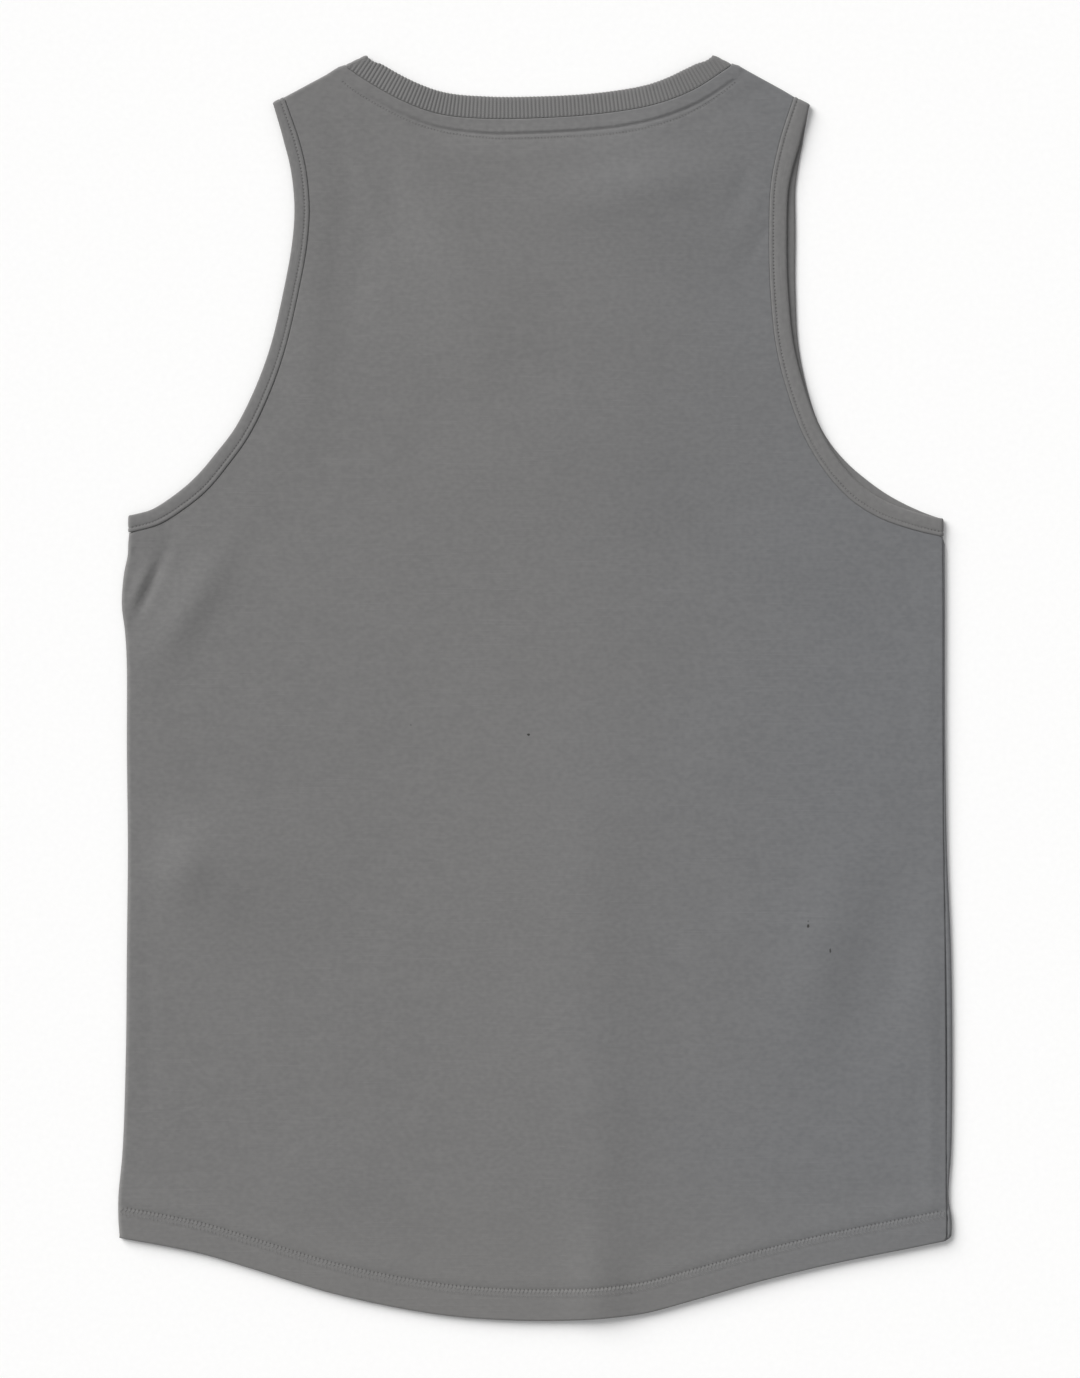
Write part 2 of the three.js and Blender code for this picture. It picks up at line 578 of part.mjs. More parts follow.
// A band that runs along the back's seam, turns over a fold, comes back along the front's seam
// and turns over the other fold.
function bandRing({ back, front, backParts, frontParts, startFold, endFold, underside, ribbed }) {
  const sections = [];
  const edgeLine = (seam, place) => {
    const fromStart = place.u * seam.length;
    const fromEnd = (1 - place.u) * seam.length;
    const fold = fromStart < fromEnd ? startFold : endFold;
    const weight = ease(Math.min(fromStart, fromEnd), foldBlend);
    return place.toEdge.clone().lerp(new THREE.Vector2(...fold.toEdge), weight).normalize();
  };
  // angle 0 faces up, half a turn faces down, and the sine leans out over the fold
  const addSection = (place, toEdge, height, angle, outward, rise) => {
    const [leanX, leanY] = outward.map((part) => part * Math.sin(angle));
    const outside = new THREE.Vector3(leanX, leanY, Math.cos(angle));
    sections.push({ place, toEdge, height, outside, rise });
  };
  const turnOver = (place, fold, fromAngle) => {
    for (let k = 1; k < turnSteps; k += 1) {
      const angle = fromAngle + (k / turnSteps) * Math.PI * (fromAngle === 0 ? 1 : -1);
      const [x, y] = fold.outward.map((part) => part * Math.sin(angle) * foldRadius);
      const moved = { x: place.x + x, y: place.y + y, width: place.width };
      const height = foldHeight + Math.cos(angle) * foldRadius;
      addSection(moved, new THREE.Vector2(...fold.toEdge), height, angle, fold.outward, 0);
    }
  };

  const backPlaces = seamPlaces(back, backParts.all, backParts.stations);
  const frontPlaces = seamPlaces(front, frontParts, frontParts);
  backPlaces.forEach((place, k) => {
    const rise = ribbed && k % 2 === 1 ? ribHeight : 0;
    const height = underside(place.x) + doubleWall / 2;
    addSection(place, edgeLine(back, place), height, 0, [0, 0], rise);
  });
  turnOver(backPlaces[backPlaces.length - 1], endFold, 0);
  [...frontPlaces].reverse().forEach((place) => {
    addSection(place, edgeLine(front, place), doubleWall / 2, Math.PI, [0, 0], 0);
  });
  turnOver(frontPlaces[0], startFold, Math.PI);

  const points = sections.flatMap(({ place, toEdge, height, outside, rise }) =>
    bandSection.map((corner) => {
      const across = seamGap + corner.across * (place.width - seamGap);
      const through = corner.through * doubleWall + (corner.through === 0.5 ? rise : 0);
      const x = place.x + toEdge.x * across + outside.x * through;
      const y = place.y + toEdge.y * across + outside.y * through;
      return new THREE.Vector3(x, y, height + outside.z * through);
    }));
  const corners = bandSection.length;
  const faces = [];
  sections.forEach((_, k) => {
    const here = k * corners;
    const next = ((k + 1) % sections.length) * corners;
    for (let c = 0; c < corners; c += 1) {
      const d = (c + 1) % corners;
      faces.push([here + c, next + c, next + d], [here + c, next + d, here + d]);
    }
  });
  return solid(points, faces);
}

const evenParts = (steps) => Array.from({ length: steps + 1 }, (_, k) => k / steps);

function neckband() {
  const ribs = Math.round(backNeck.length / ribPitch);
  const neckSide = [...frontLevels.slice(frontSplit), 1].map(frontNeckPart).reverse();
  const otherSide = neckSide.map((part) => 1 - part).reverse();
  return bandRing({
    back: backNeck,
    front: frontNeck,
    backParts: { all: evenParts(2 * ribs), stations: evenParts(backCounts.inner) },
    frontParts: [...neckSide, ...frontMiddleParts, ...otherSide],
    startFold: folds.leftNeck,
    endFold: folds.rightNeck,
    underside: neckbandUnderside,
    ribbed: true,
  });
}

function armholeBand(back, front, startFold, endFold) {
  const stations = [0, ...backLevels, 1];
  return bandRing({
    back,
    front,
    backParts: { all: stations, stations },
    frontParts: [0, ...frontLevels, 1],
    startFold,
    endFold,
    underside: () => upperBand,
    ribbed: false,
  });
}

// One named mesh for each piece that is cut and sewn
const jersey = { color: 0x7a7a79, roughness: 0.95, metalness: 0 };
const ribKnit = { color: 0x777577, roughness: 0.95, metalness: 0 };

function piece(name, geometry, finish) {
  const mesh = new THREE.Mesh(geometry, new THREE.MeshStandardMaterial(finish));
  mesh.name = name;
  return mesh;
}

const tankTop = new THREE.Group();
tankTop.name = 'tank_top';
tankTop.add(
  piece('front_panel', frontPanel(), jersey),
  piece('back_panel', backPanel(), jersey),
  piece('neckband', neckband(), ribKnit),
  piece(
    'left_armhole_band',
    armholeBand(leftArmhole, frontLeftArmhole, folds.leftUnderarm, folds.leftShoulder),
    jersey,
  ),
  piece(
    'right_armhole_band',
    armholeBand(rightArmhole, frontRightArmhole, folds.rightUnderarm, folds.rightShoulder),
    jersey,
  ),
);
tankTop.position.set(-middle.across, -middle.up, 0);

export default tankTop;
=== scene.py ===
import bpy
import numpy as np
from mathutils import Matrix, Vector, geometry


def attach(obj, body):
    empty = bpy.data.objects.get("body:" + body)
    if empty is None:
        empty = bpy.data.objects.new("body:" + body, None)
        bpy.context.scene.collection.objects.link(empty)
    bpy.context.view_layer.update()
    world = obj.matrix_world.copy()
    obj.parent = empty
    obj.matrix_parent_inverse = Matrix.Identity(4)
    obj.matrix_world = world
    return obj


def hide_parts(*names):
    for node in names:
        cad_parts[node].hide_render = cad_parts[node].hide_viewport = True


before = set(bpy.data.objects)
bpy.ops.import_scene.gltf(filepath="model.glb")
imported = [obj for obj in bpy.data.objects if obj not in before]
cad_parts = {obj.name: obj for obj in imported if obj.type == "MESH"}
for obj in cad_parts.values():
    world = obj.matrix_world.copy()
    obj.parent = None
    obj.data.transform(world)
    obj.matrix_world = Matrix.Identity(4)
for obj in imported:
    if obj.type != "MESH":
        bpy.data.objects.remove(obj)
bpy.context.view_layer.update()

print("frame:", sorted(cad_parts))

# A tank top laid flat with its back up. X runs across it, Y up its length, Z up from the table.
# The tables give places as across and up, from the garment's own middle line and lowest point.
garment = {
    "middle": (0.0004, 0.38905),  # where the frame's origin is
    "cloth": 0.0011,  # one layer of jersey
    "doubled": 0.0020,  # hems and bands
    "upperBand": 0.0023,  # underside of the back's bands and hem
    "upperCloth": 0.0014,  # lowest underside of the back
    "foldMiddle": 0.00215,  # height of the folds over the shoulders and under the arms
    "foldRadius": 0.00115,
    "panelOverFold": 0.0017,
    "underarmRun": 0.018,  # the panels' underarm corners go on in the line of this stretch
    "hemDepth": 0.019,
    "leftBand": 0.0095,  # usual widths of the armhole bands
    "rightBand": 0.0109,
}


def table(columns, *rows):  # rows of numbers, as named columns
    return dict(zip(columns.split(), np.array(rows, float).T))


sideRows = table(
    "up left right leftPeek rightPeek",
    (0.0500, -0.2552, 0.2530, -0.0009, 0.0002),
    (0.0515, -0.2552, 0.2534, -0.0009, 0.0022),
    (0.0545, -0.2554, 0.2535, -0.0009, 0.0030),
    (0.063, -0.2560, 0.2536, -0.0009, 0.0030),
    (0.077, -0.2560, 0.2533, -0.0009, 0.0014),
    (0.106, -0.2534, 0.2532, -0.0009, 0.0032),
    (0.167, -0.2514, 0.2530, -0.0009, 0.0041),
    (0.229, -0.2508, 0.2526, -0.0009, 0.0036),
    (0.290, -0.2502, 0.2517, -0.0009, 0.0020),
    (0.352, -0.2508, 0.2513, -0.0009, 0.0014),
    (0.407, -0.2509, 0.2513, -0.0009, 0.0012),
    (0.425, -0.2520, 0.2513, -0.0009, 0.0012),
    (0.441, -0.2539, 0.2513, -0.0009, 0.0012),
    (0.460, -0.2526, 0.2512, -0.0009, 0.0012),
    (0.472, -0.2502, 0.2511, -0.0009, 0.0012),
    (0.478, -0.2500, 0.2511, -0.0009, 0.0012),
)
hemRows = table(
    "across up",
    (-0.2553, 0.0519), (-0.220, 0.0454), (-0.201, 0.0411), (-0.173, 0.0327), (-0.120, 0.0167),
    (-0.060, 0.0049), (-0.018, 0.0013), (0.022, 0.0011), (0.047, 0.0027), (0.068, 0.0055),
    (0.100, 0.0141), (0.139, 0.0252), (0.182, 0.0356), (0.225, 0.0443), (0.2536, 0.0501),
)
leftArmholeRows = table(
    "across up width peek",
    (-0.2478, 0.4856, 0.0106, 0),
    (-0.2315, 0.4902, 0.0102, -0.001),
    (-0.2162, 0.4994, 0.0104, -0.002),
    (-0.2014, 0.5114, 0.0108, -0.003),
    (-0.1873, 0.5283, 0.0104, -0.003),
    (-0.1756, 0.5449, 0.0098, -0.003),
    (-0.1633, 0.5701, 0.0094, -0.003),
    (-0.1534, 0.5978, 0.0092, -0.003),
    (-0.1448, 0.6347, 0.0092, -0.003),
    (-0.1399, 0.6624, 0.0092, -0.0025),
    (-0.1384, 0.6851, 0.0092, -0.002),
    (-0.1405, 0.7085, 0.0092, -0.0012),
    (-0.1448, 0.7269, 0.0093, -0.0005),
    (-0.1534, 0.7515, 0.0078, 0),
)
rightArmholeRows = table(
    "across up width peek",
    (0.2495, 0.4831, 0.0112, 0),
    (0.2328, 0.4871, 0.0109, 0.0016),
    (0.2119, 0.4945, 0.0109, 0.0042),
    (0.1953, 0.5049, 0.0109, 0.005),
    (0.1811, 0.5197, 0.0109, 0.0032),
    (0.1697, 0.5369, 0.0108, 0.0014),
    (0.1614, 0.5547, 0.0108, 0.0009),
    (0.1494, 0.5953, 0.0108, 0.0028),
    (0.1451, 0.6335, 0.0108, 0.0047),
    (0.1442, 0.6691, 0.0108, 0.0056),
    (0.1454, 0.6999, 0.0109, 0.0044),
    (0.1510, 0.7269, 0.0122, 0.002),
    (0.1590, 0.7518, 0.0110, 0),
)
neckWidth = 0.014
backNeckRows = table(
    "across up width",
    (-0.1153, 0.7712, neckWidth),
    (-0.1036, 0.7632, neckWidth),
    (-0.0809, 0.7506, neckWidth),
    (-0.0590, 0.7429, neckWidth),
    (-0.0304, 0.7400, neckWidth),
    (0.0034, 0.7404, neckWidth - 0.0004),
    (0.0400, 0.7430, neckWidth - 0.0008),
    (0.0741, 0.7486, neckWidth - 0.0008),
    (0.0975, 0.7574, neckWidth),
    (0.1202, 0.7718, neckWidth - 0.0015),
)
frontNeckRows = table(
    "across up width",
    (-0.1153, 0.7712, neckWidth), (-0.113, 0.748, neckWidth), (-0.105, 0.712, neckWidth),
    (-0.091, 0.676, neckWidth), (-0.068, 0.643, neckWidth), (-0.036, 0.621, neckWidth),
    (0.003, 0.614, neckWidth), (0.042, 0.621, neckWidth), (0.074, 0.643, neckWidth),
    (0.097, 0.676, neckWidth), (0.111, 0.712, neckWidth), (0.1185, 0.748, neckWidth),
    (0.1202, 0.7718, neckWidth - 0.0015),
)

# The lines that the bands turn over: direction from seam to free edge, and outwards
folds = {
    "leftUnderarm": {"toEdge": (0, 1), "outward": (-1, 0)},
    "rightUnderarm": {"toEdge": (0, 1), "outward": (1, 0)},
    "leftShoulder": {"toEdge": (-0.9, -0.436), "outward": (-0.436, 0.9)},
    "rightShoulder": {"toEdge": (0.892, -0.452), "outward": (0.452, 0.892)},
    "leftNeck": {"toEdge": (0.9, 0.436), "outward": (-0.436, 0.9)},
    "rightNeck": {"toEdge": (-0.892, 0.452), "outward": (0.452, 0.892)},
}


def smooth(value, low, high):
    part = np.clip((value - low) / (high - low), 0, 1)
    return part * part * (3 - 2 * part)


def ease(distance, width):  # 1 at nothing, 0 from width on
    return 1 - smooth(distance, 0, width)


def blend(low, high, part):
    return low + (high - low) * part


def softMax(one, other, softness=0.00035):
    return (one + other + np.hypot(one - other, softness)) / 2


def roundRise(away, radius):  # a quarter circle, from 0 at an edge to 1 at the radius
    part = np.clip(away / radius, 0, 1)
    return np.sqrt(part * (2 - part))


def lengthsAlong(line):
    return np.append(0, np.cumsum(np.hypot(*np.diff(line, axis=0).T)))


def headings(line):
    ahead = np.gradient(line, axis=0)
    return ahead / np.hypot(*ahead.T)[:, None]


def evenly(line, spacing):  # the same line with its places about this far apart
    run = lengthsAlong(line)
    at = np.linspace(0, run[-1], max(int(round(run[-1] / spacing)), 1) + 1)
    return np.column_stack([np.interp(at, run, column) for column in line.T])


def curveThrough(across, up, perSpan=24):  # a centripetal Catmull-Rom curve
    points = np.column_stack([across, up])
    first, last = 2 * points[0] - points[1], 2 * points[-1] - points[-2]
    padded = np.vstack([first, points, last])
    t = np.linspace(0, 1, perSpan, endpoint=False)[:, None]
    spans = []
    for a, b, c, d in zip(padded, padded[1:], padded[2:], padded[3:]):
        before, here, after = [np.sqrt(np.hypot(*step)) for step in (b - a, c - b, d - c)]
        leave = ((b - a) / before - (c - a) / (before + here) + (c - b) / here) * here
        arrive = ((c - b) / here - (d - b) / (here + after) + (d - c) / after) * here
        ends = (2 * t**3 - 3 * t**2 + 1) * b + (3 * t**2 - 2 * t**3) * c
        spans.append(ends + (t**3 - 2 * t**2 + t) * leave + (t**3 - t**2) * arrive)
    return np.vstack([*spans, points[-1:]])


def columnAt(rows, key, value):  # a smooth line through two columns, as a function of the first
    line = curveThrough(rows[key], rows[value])
    return lambda places: np.interp(places, *line.T)


class Seam:
    # a sewn line through a table's rows; freeSide is 1 where its band lies to the left of its run
    perSpan = 24

    def __init__(self, rows, freeSide):
        self.line = curveThrough(rows["across"], rows["up"], self.perSpan)
        self.run = lengthsAlong(self.line)
        self.length = self.run[-1]
        rowAt = np.linspace(0, len(rows["across"]) - 1, len(self.line))
        self.widths = np.interp(rowAt, np.arange(len(rows["across"])), rows["width"])
        ahead = headings(self.line)
        self.toEdges = np.column_stack([-ahead[:, 1], ahead[:, 0]]) * freeSide

    def at(self, runs):  # places, directions to the free edge and widths along the seam
        place = np.column_stack([np.interp(runs, self.run, column) for column in self.line.T])
        toEdge = np.column_stack([np.interp(runs, self.run, column) for column in self.toEdges.T])
        toEdge /= np.hypot(*toEdge.T)[:, None]
        return place, toEdge, np.interp(runs, self.run, self.widths)

    def moved(self, rows, freeSide):  # the front's seam: this one, moved out by how far it shows
        toEdge = self.toEdges[:: self.perSpan]
        across = rows["across"] + toEdge[:, 0] * rows["peek"]
        up = rows["up"] + toEdge[:, 1] * rows["peek"]
        return Seam({"across": across, "up": up, "width": rows["width"]}, freeSide)

    def beside(self, runs, aways):  # a line on the panel, this far from the seam
        place, toEdge, _ = self.at(runs)
        return place - toEdge * np.broadcast_to(aways, len(runs))[:, None]


leftArmhole = Seam(leftArmholeRows, 1)
rightArmhole = Seam(rightArmholeRows, -1)
frontLeftArmhole = leftArmhole.moved(leftArmholeRows, 1)
frontRightArmhole = rightArmhole.moved(rightArmholeRows, -1)
backNeck = Seam(backNeckRows, 1)
frontNeck = Seam(frontNeckRows, 1)
leftSideAt = columnAt(sideRows, "up", "left")
rightSideAt = columnAt(sideRows, "up", "right")
leftPeekAt = columnAt(sideRows, "up", "leftPeek")
rightPeekAt = columnAt(sideRows, "up", "rightPeek")
hemUpAt = columnAt(hemRows, "across", "up")
hemLine = curveThrough(hemRows["across"], hemRows["up"])


def awayFrom(line, places):
    # distance to a line and how far along it that is: first the nearest of its knots, and then
    # the nearest of the stretches round that knot
    stride, atOnce = 8, 8000
    stepX, stepY = np.diff(line, axis=0).T
    lengths = np.hypot(stepX, stepY)
    runs = lengthsAlong(line)
    knots = line[::stride]
    window = np.arange(-stride - 3, stride + 3)
    away, along = np.empty(len(places)), np.empty(len(places))
    for first in range(0, len(places), atOnce):
        part = slice(first, first + atOnce)
        x, y = places[part, :1], places[part, 1:]
        knot = ((x - knots[:, 0]) ** 2 + (y - knots[:, 1]) ** 2).argmin(1)
        near = np.clip(knot[:, None] * stride + window, 0, len(lengths) - 1)
        offX, offY = x - line[near, 0], y - line[near, 1]
        share = np.clip((offX * stepX[near] + offY * stepY[near]) / lengths[near] ** 2, 0, 1)
        gap = np.hypot(offX - share * stepX[near], offY - share * stepY[near])
        row = np.arange(len(gap)), gap.argmin(1)
        away[part] = gap[row]
        along[part] = runs[near[row]] + share[row] * lengths[near[row]]
    return away, along


def overFold(seam, end, fold, more=0.0):  # the panels' shoulder corners, over the bands' folds
    outward = np.array(folds[fold]["outward"])
    return seam.line[end] + outward * (garment["panelOverFold"] + more)


leftTip = overFold(leftArmhole, -1, "leftShoulder")
rightTip = overFold(rightArmhole, -1, "rightShoulder")
leftNeckPoint = overFold(backNeck, 0, "leftNeck", 0.0005)
rightNeckPoint = overFold(backNeck, -1, "rightNeck", 0.0008)
shoulderBulges = {  # share of the way from the neck, and how far the edge stands out there
    "leftShoulder": ((0, 0), (0.10, 0.0007), (0.18, 0.0006), (0.30, 0.0001), (1, 0)),
    "rightShoulder": (
        (0, 0), (0.10, 0.0008), (0.20, 0.0006), (0.45, 0.0005), (0.80, 0.0004), (1, 0),
    ),
}


def shoulderLine(neckPoint, tip, fold):
    outward = np.array(folds[fold]["outward"])
    rows = [neckPoint + (tip - neckPoint) * part + outward * out for part, out in shoulderBulges[fold]]
    return np.array(rows)


def withUnderarm(seam, tip):  # an armhole's edge on a panel, drawn on over the folds at both ends
    start = seam.line[0]
    along = seam.at(np.array([garment["underarmRun"]]))[0][0] - start
    corner = start - along / np.hypot(*along) * garment["panelOverFold"]
    return np.vstack([corner, seam.line, tip])


def panelEdges(left, right, neck, sides):  # anticlockwise, from the left end of the hem
    leftEdge = withUnderarm(left, leftTip)
    rightEdge = withUnderarm(right, rightTip)
    leftUp = np.linspace(hemLine[0, 1], sideRows["up"][-1], 200)
    rightUp = np.linspace(hemLine[-1, 1], sideRows["up"][-1], 200)
    leftSide = np.vstack([np.column_stack([sides[0](leftUp), leftUp]), leftEdge[:1]])
    rightSide = np.vstack([np.column_stack([sides[1](rightUp), rightUp]), rightEdge[:1]])
    hem = np.vstack([leftSide[:1], hemLine[1:-1], rightSide[:1]])
    return {
        "hem": hem,
        "right": rightSide,
        "rightArmhole": rightEdge,
        "rightShoulder": shoulderLine(rightNeckPoint, rightTip, "rightShoulder")[::-1],
        "neck": np.vstack([rightNeckPoint, neck.line[::-1], leftNeckPoint]),
        "leftShoulder": shoulderLine(leftNeckPoint, leftTip, "leftShoulder"),
        "leftArmhole": leftEdge[::-1],
        "left": leftSide[::-1],
    }


backEdges = panelEdges(leftArmhole, rightArmhole, backNeck, (leftSideAt, rightSideAt))
frontEdges = panelEdges(
    frontLeftArmhole,
    frontRightArmhole,
    frontNeck,
    (lambda up: leftSideAt(up) - leftPeekAt(up), lambda up: rightSideAt(up) + rightPeekAt(up)),
)


def distances(edges, places):
    far = 0.0025  # spacing of the lines that distances are measured from
    return {name: awayFrom(evenly(line, far), places) for name, line in edges.items()}


# Meshes

def newPiece(name, mesh, material):
    piece = bpy.data.objects.new(name, mesh)
    bpy.context.scene.collection.objects.link(piece)
    mesh.materials.clear()
    mesh.materials.append(material)
    mesh.polygons.foreach_set("use_smooth", [True] * len(mesh.polygons))
    return piece


def addColumn(mesh, name, values):  # a number for each point of a mesh
    column = mesh.attributes.new(name, "FLOAT", "POINT")
    column.data.foreach_set("value", np.asarray(values, np.float32))


def meshFrom(name, points, faces):
    mesh = bpy.data.meshes.new(name)
    mesh.from_pydata(points.tolist(), [], [list(face) for face in faces])
    mesh.update()
    return mesh


def fillPlaces(outline, rings, rows, spacing):
    # places inside an outline: rings along its edges, rows that follow details, and an even field
    closed = np.vstack([outline, outline[:1]])
    ahead = np.roll(outline, -1, 0) - np.roll(outline, 1, 0)
    inward = np.column_stack([-ahead[:, 1], ahead[:, 0]]) / np.hypot(*ahead.T)[:, None]
    kept = []
    for offset in rings:
        ring = outline + inward * offset
        kept.append(ring[awayFrom(closed, ring)[0] > 0.97 * offset])
    coarse = evenly(closed, 2 * spacing)
    for row in rows:
        kept.append(row[awayFrom(coarse, row)[0] > rings[-1] * 1.2])
    low, high = outline.min(0), outline.max(0)
    lift = spacing * np.sqrt(3) / 2
    up = np.arange(low[1], high[1], lift)
    across = np.arange(low[0], high[0], spacing)
    grid = np.array([(x + (k % 2) * spacing / 2, y) for k, y in enumerate(up) for x in across])
    grid = grid[awayFrom(coarse, grid)[0] > rings[-1] + 0.5 * spacing]
    for row in rows:
        grid = grid[awayFrom(evenly(row, spacing), grid)[0] > 0.5 * spacing]
    return np.vstack([*kept, grid])


def triangles(outline, places):
    # anticlockwise triangles inside an outline, numbered by outline and then places
    scale = 1000  # the triangulation works in millimetres
    points = [Vector(place) for place in np.vstack([outline, places]) * scale]
    loop = list(range(len(outline)))
    _, _, faces, origins, _, inside = geometry.delaunay_2d_cdt(points, [], [loop], 0, 1e-5, True)
    first = [min(origin) for origin in origins]
    return np.array([[first[k] for k in face] for face, loops in zip(faces, inside) if loops])


def panelMesh(name, outline, upper, lower, surface):
    # a closed wall of cloth between the heights that surface gives for the upper and lower side
    upperFaces = triangles(outline, upper)
    lowerFaces = triangles(outline, lower)
    upperPlaces, lowerPlaces = np.vstack([outline, upper]), np.vstack([outline, lower])
    above, below = surface(upperPlaces), surface(lowerPlaces)
    count, edge = len(upperPlaces), np.arange(len(outline))
    following = np.roll(edge, -1)
    walls = np.column_stack([edge + count, following + count, following, edge])
    points = np.vstack([
        np.column_stack([upperPlaces, above["high"]]),
        np.column_stack([lowerPlaces, below["low"]]),
    ])
    points[:, :2] -= garment["middle"]
    groups = (upperFaces, lowerFaces[:, ::-1] + count, walls)
    used = np.zeros(len(points), bool)  # places that fell outside the outline have no faces
    for group in groups:
        used[group] = True
    number = np.cumsum(used) - 1
    faces = [face for group in groups for face in number[group].tolist()]
    mesh = meshFrom(name, points[used], faces)
    columns = {"upperSide": np.append(np.ones(count), np.zeros(len(lowerPlaces)))}
    for column in above["columns"]:
        columns[column] = np.append(above["columns"][column], below["columns"][column])
    for column, values in columns.items():
        addColumn(mesh, column, values[used])
    return mesh


def outlineOf(edges, spacing):
    return np.vstack([evenly(line, spacing)[:-1] for line in edges.values()])


# Wires of node trees, so that sums on sockets read as sums

def addNode(tree, kind, settings=None, inputs=None, output=0):
    node = tree.nodes.new(kind)
    for key, value in (settings or {}).items():
        setattr(node, key, value)
    for key, value in (inputs or {}).items():
        if isinstance(value, Wire):
            tree.links.new(value.socket, node.inputs[key])
        else:
            node.inputs[key].default_value = value
    return Wire(tree, node.outputs[output])


class Wire:
    def __init__(self, tree, socket):
        self.tree, self.socket = tree, socket

    def maths(self, operation, *values):
        inputs = dict(enumerate(values))
        return addNode(self.tree, "ShaderNodeMath", {"operation": operation}, inputs)

    def __add__(self, other):
        return self.maths("ADD", self, other)

    def __radd__(self, other):
        return self.maths("ADD", other, self)

    def __sub__(self, other):
        return self.maths("SUBTRACT", self, other)

    def __rsub__(self, other):
        return self.maths("SUBTRACT", other, self)

    def __mul__(self, other):
        return self.maths("MULTIPLY", self, other)

    def __rmul__(self, other):
        return self.maths("MULTIPLY", other, self)

    def __truediv__(self, other):
        return self.maths("DIVIDE", self, other)

    def __pow__(self, other):
        return self.maths("POWER", self, other)

    def __abs__(self):
        return self.maths("ABSOLUTE", self)

    def part(self):  # what is left over a whole number
        return self.maths("FRACT", self)

    def wave(self):  # from -1 to 1 and back for each whole number
        return self.maths("COSINE", self * (2 * np.pi))

    def smooth(self, low, high):
        settings = {"interpolation_type": "SMOOTHSTEP"}
        inputs = {"Value": self, "From Min": low, "From Max": high}
        return addNode(self.tree, "ShaderNodeMapRange", settings, inputs)


# Fabrics

tones = {  # linear colours of the dyed jersey and rib, of the thread and lint, and of painted shade and painted light casts
    "light": (0.1845, 0.1825, 0.1815, 1),
    "dark": (0.1605, 0.1590, 0.1590, 1),
    # painted shade: cooler, darker tones for the right side, where the light falls off
    "shadedCoolLight": (0.1680, 0.1720, 0.1800, 1),
    "shadedCoolDark": (0.1450, 0.1490, 0.1570, 1),
    # painted light: a warm light cast for the hem
    "paintedWarmCast": (0.1810, 0.1765, 0.1690, 1),
    "thread": (0.2350, 0.2330, 0.2300, 1),
    # painted shade for needle holes and rib valleys
    "recessAndShade": (0.0620, 0.0600, 0.0600, 1),
    "speck": (0.0300, 0.0280, 0.0260, 1),
}
knit = {"wale": 0.00072, "course": 0.00058, "depth": 0.00006, "lean": 1.5, "ribLoop": 0.00095}
specks = table(  # lint on the back
    "across up halfWidth halfHeight strength",
    (-0.0760, 0.3672, 0.0007, 0.0006, 0.35),
    (-0.0037, 0.3612, 0.0011, 0.0009, 0.95),
    (0.1682, 0.2466, 0.0006, 0.0006, 0.5),
    (0.1682, 0.2436, 0.0009, 0.0012, 0.9),
    (0.1817, 0.2285, 0.0007, 0.0017, 0.8),
)


class Fabric:
    # a knitted cloth's material; x and y run across and along its wales, in metres
    def __init__(self, name, alongSurface=False):
        self.material = bpy.data.materials.new(name)
        self.material.use_nodes = True
        self.tree = self.material.node_tree
        self.tree.nodes.clear()
        place = addNode(self.tree, "ShaderNodeTexCoord", output="UV" if alongSurface else "Object")
        self.place = place
        self.x = self.coordinate(place, "X")
        self.y = self.coordinate(place, "Y")

    def coordinate(self, vector, axis):
        return addNode(self.tree, "ShaderNodeSeparateXYZ", None, {0: vector}, axis)

    def column(self, name):
        return addNode(self.tree, "ShaderNodeAttribute", {"attribute_name": name}, output="Fac")

    def noise(self, scaleX, scaleY, detail=2.0):
        spread = {1: (scaleX, scaleY, max(scaleX, scaleY))}
        inputs = {0: self.place, **spread}
        stretched = addNode(self.tree, "ShaderNodeVectorMath", {"operation": "MULTIPLY"}, inputs)
        inputs = {"Vector": stretched, "Scale": 1.0, "Detail": detail}
        return addNode(self.tree, "ShaderNodeTexNoise", None, inputs)

    def mix(self, first, second, factor):
        inputs = {0: factor, 6: first, 7: second}
        return addNode(self.tree, "ShaderNodeMix", {"data_type": "RGBA"}, inputs, output=2)

    def loops(self):  # the fine V stitches of the knit, 0 between the loops and 1 on them
        fromMiddle = abs((self.x / knit["wale"]).part() - 0.5)
        leg = 1 - abs(fromMiddle * 4 - 1)
        loop = (self.y / knit["course"] + fromMiddle * knit["lean"]).wave() * 0.5 + 0.5
        return leg * (loop * 0.5 + 0.5)

    def holes(self, run, away, width):  # needle holes, one for each whole number of the run
        spot = (run - 0.5).wave().smooth(0.15, 0.95)
        return spot * (1 - abs(away) / width).smooth(0.0, 0.75)

    def finish(self, colour, height, rough):
        bump = addNode(
            self.tree, "ShaderNodeBump", None, {"Strength": 1.0, "Distance": 1.0, "Height": height}
        )
        shader = addNode(
            self.tree,
            "ShaderNodeBsdfPrincipled",
            None,
            {
                "Base Color": colour,
                "Roughness": rough,
                "Normal": bump,
                "Specular IOR Level": 0.25,
                "Sheen Weight": 0.22,
                "Sheen Roughness": 0.45,
                "Sheen Tint": (0.95, 0.93, 0.9, 1),
            },
        )
        output = self.tree.nodes.new("ShaderNodeOutputMaterial")
        self.tree.links.new(shader.socket, output.inputs["Surface"])
        return self.material


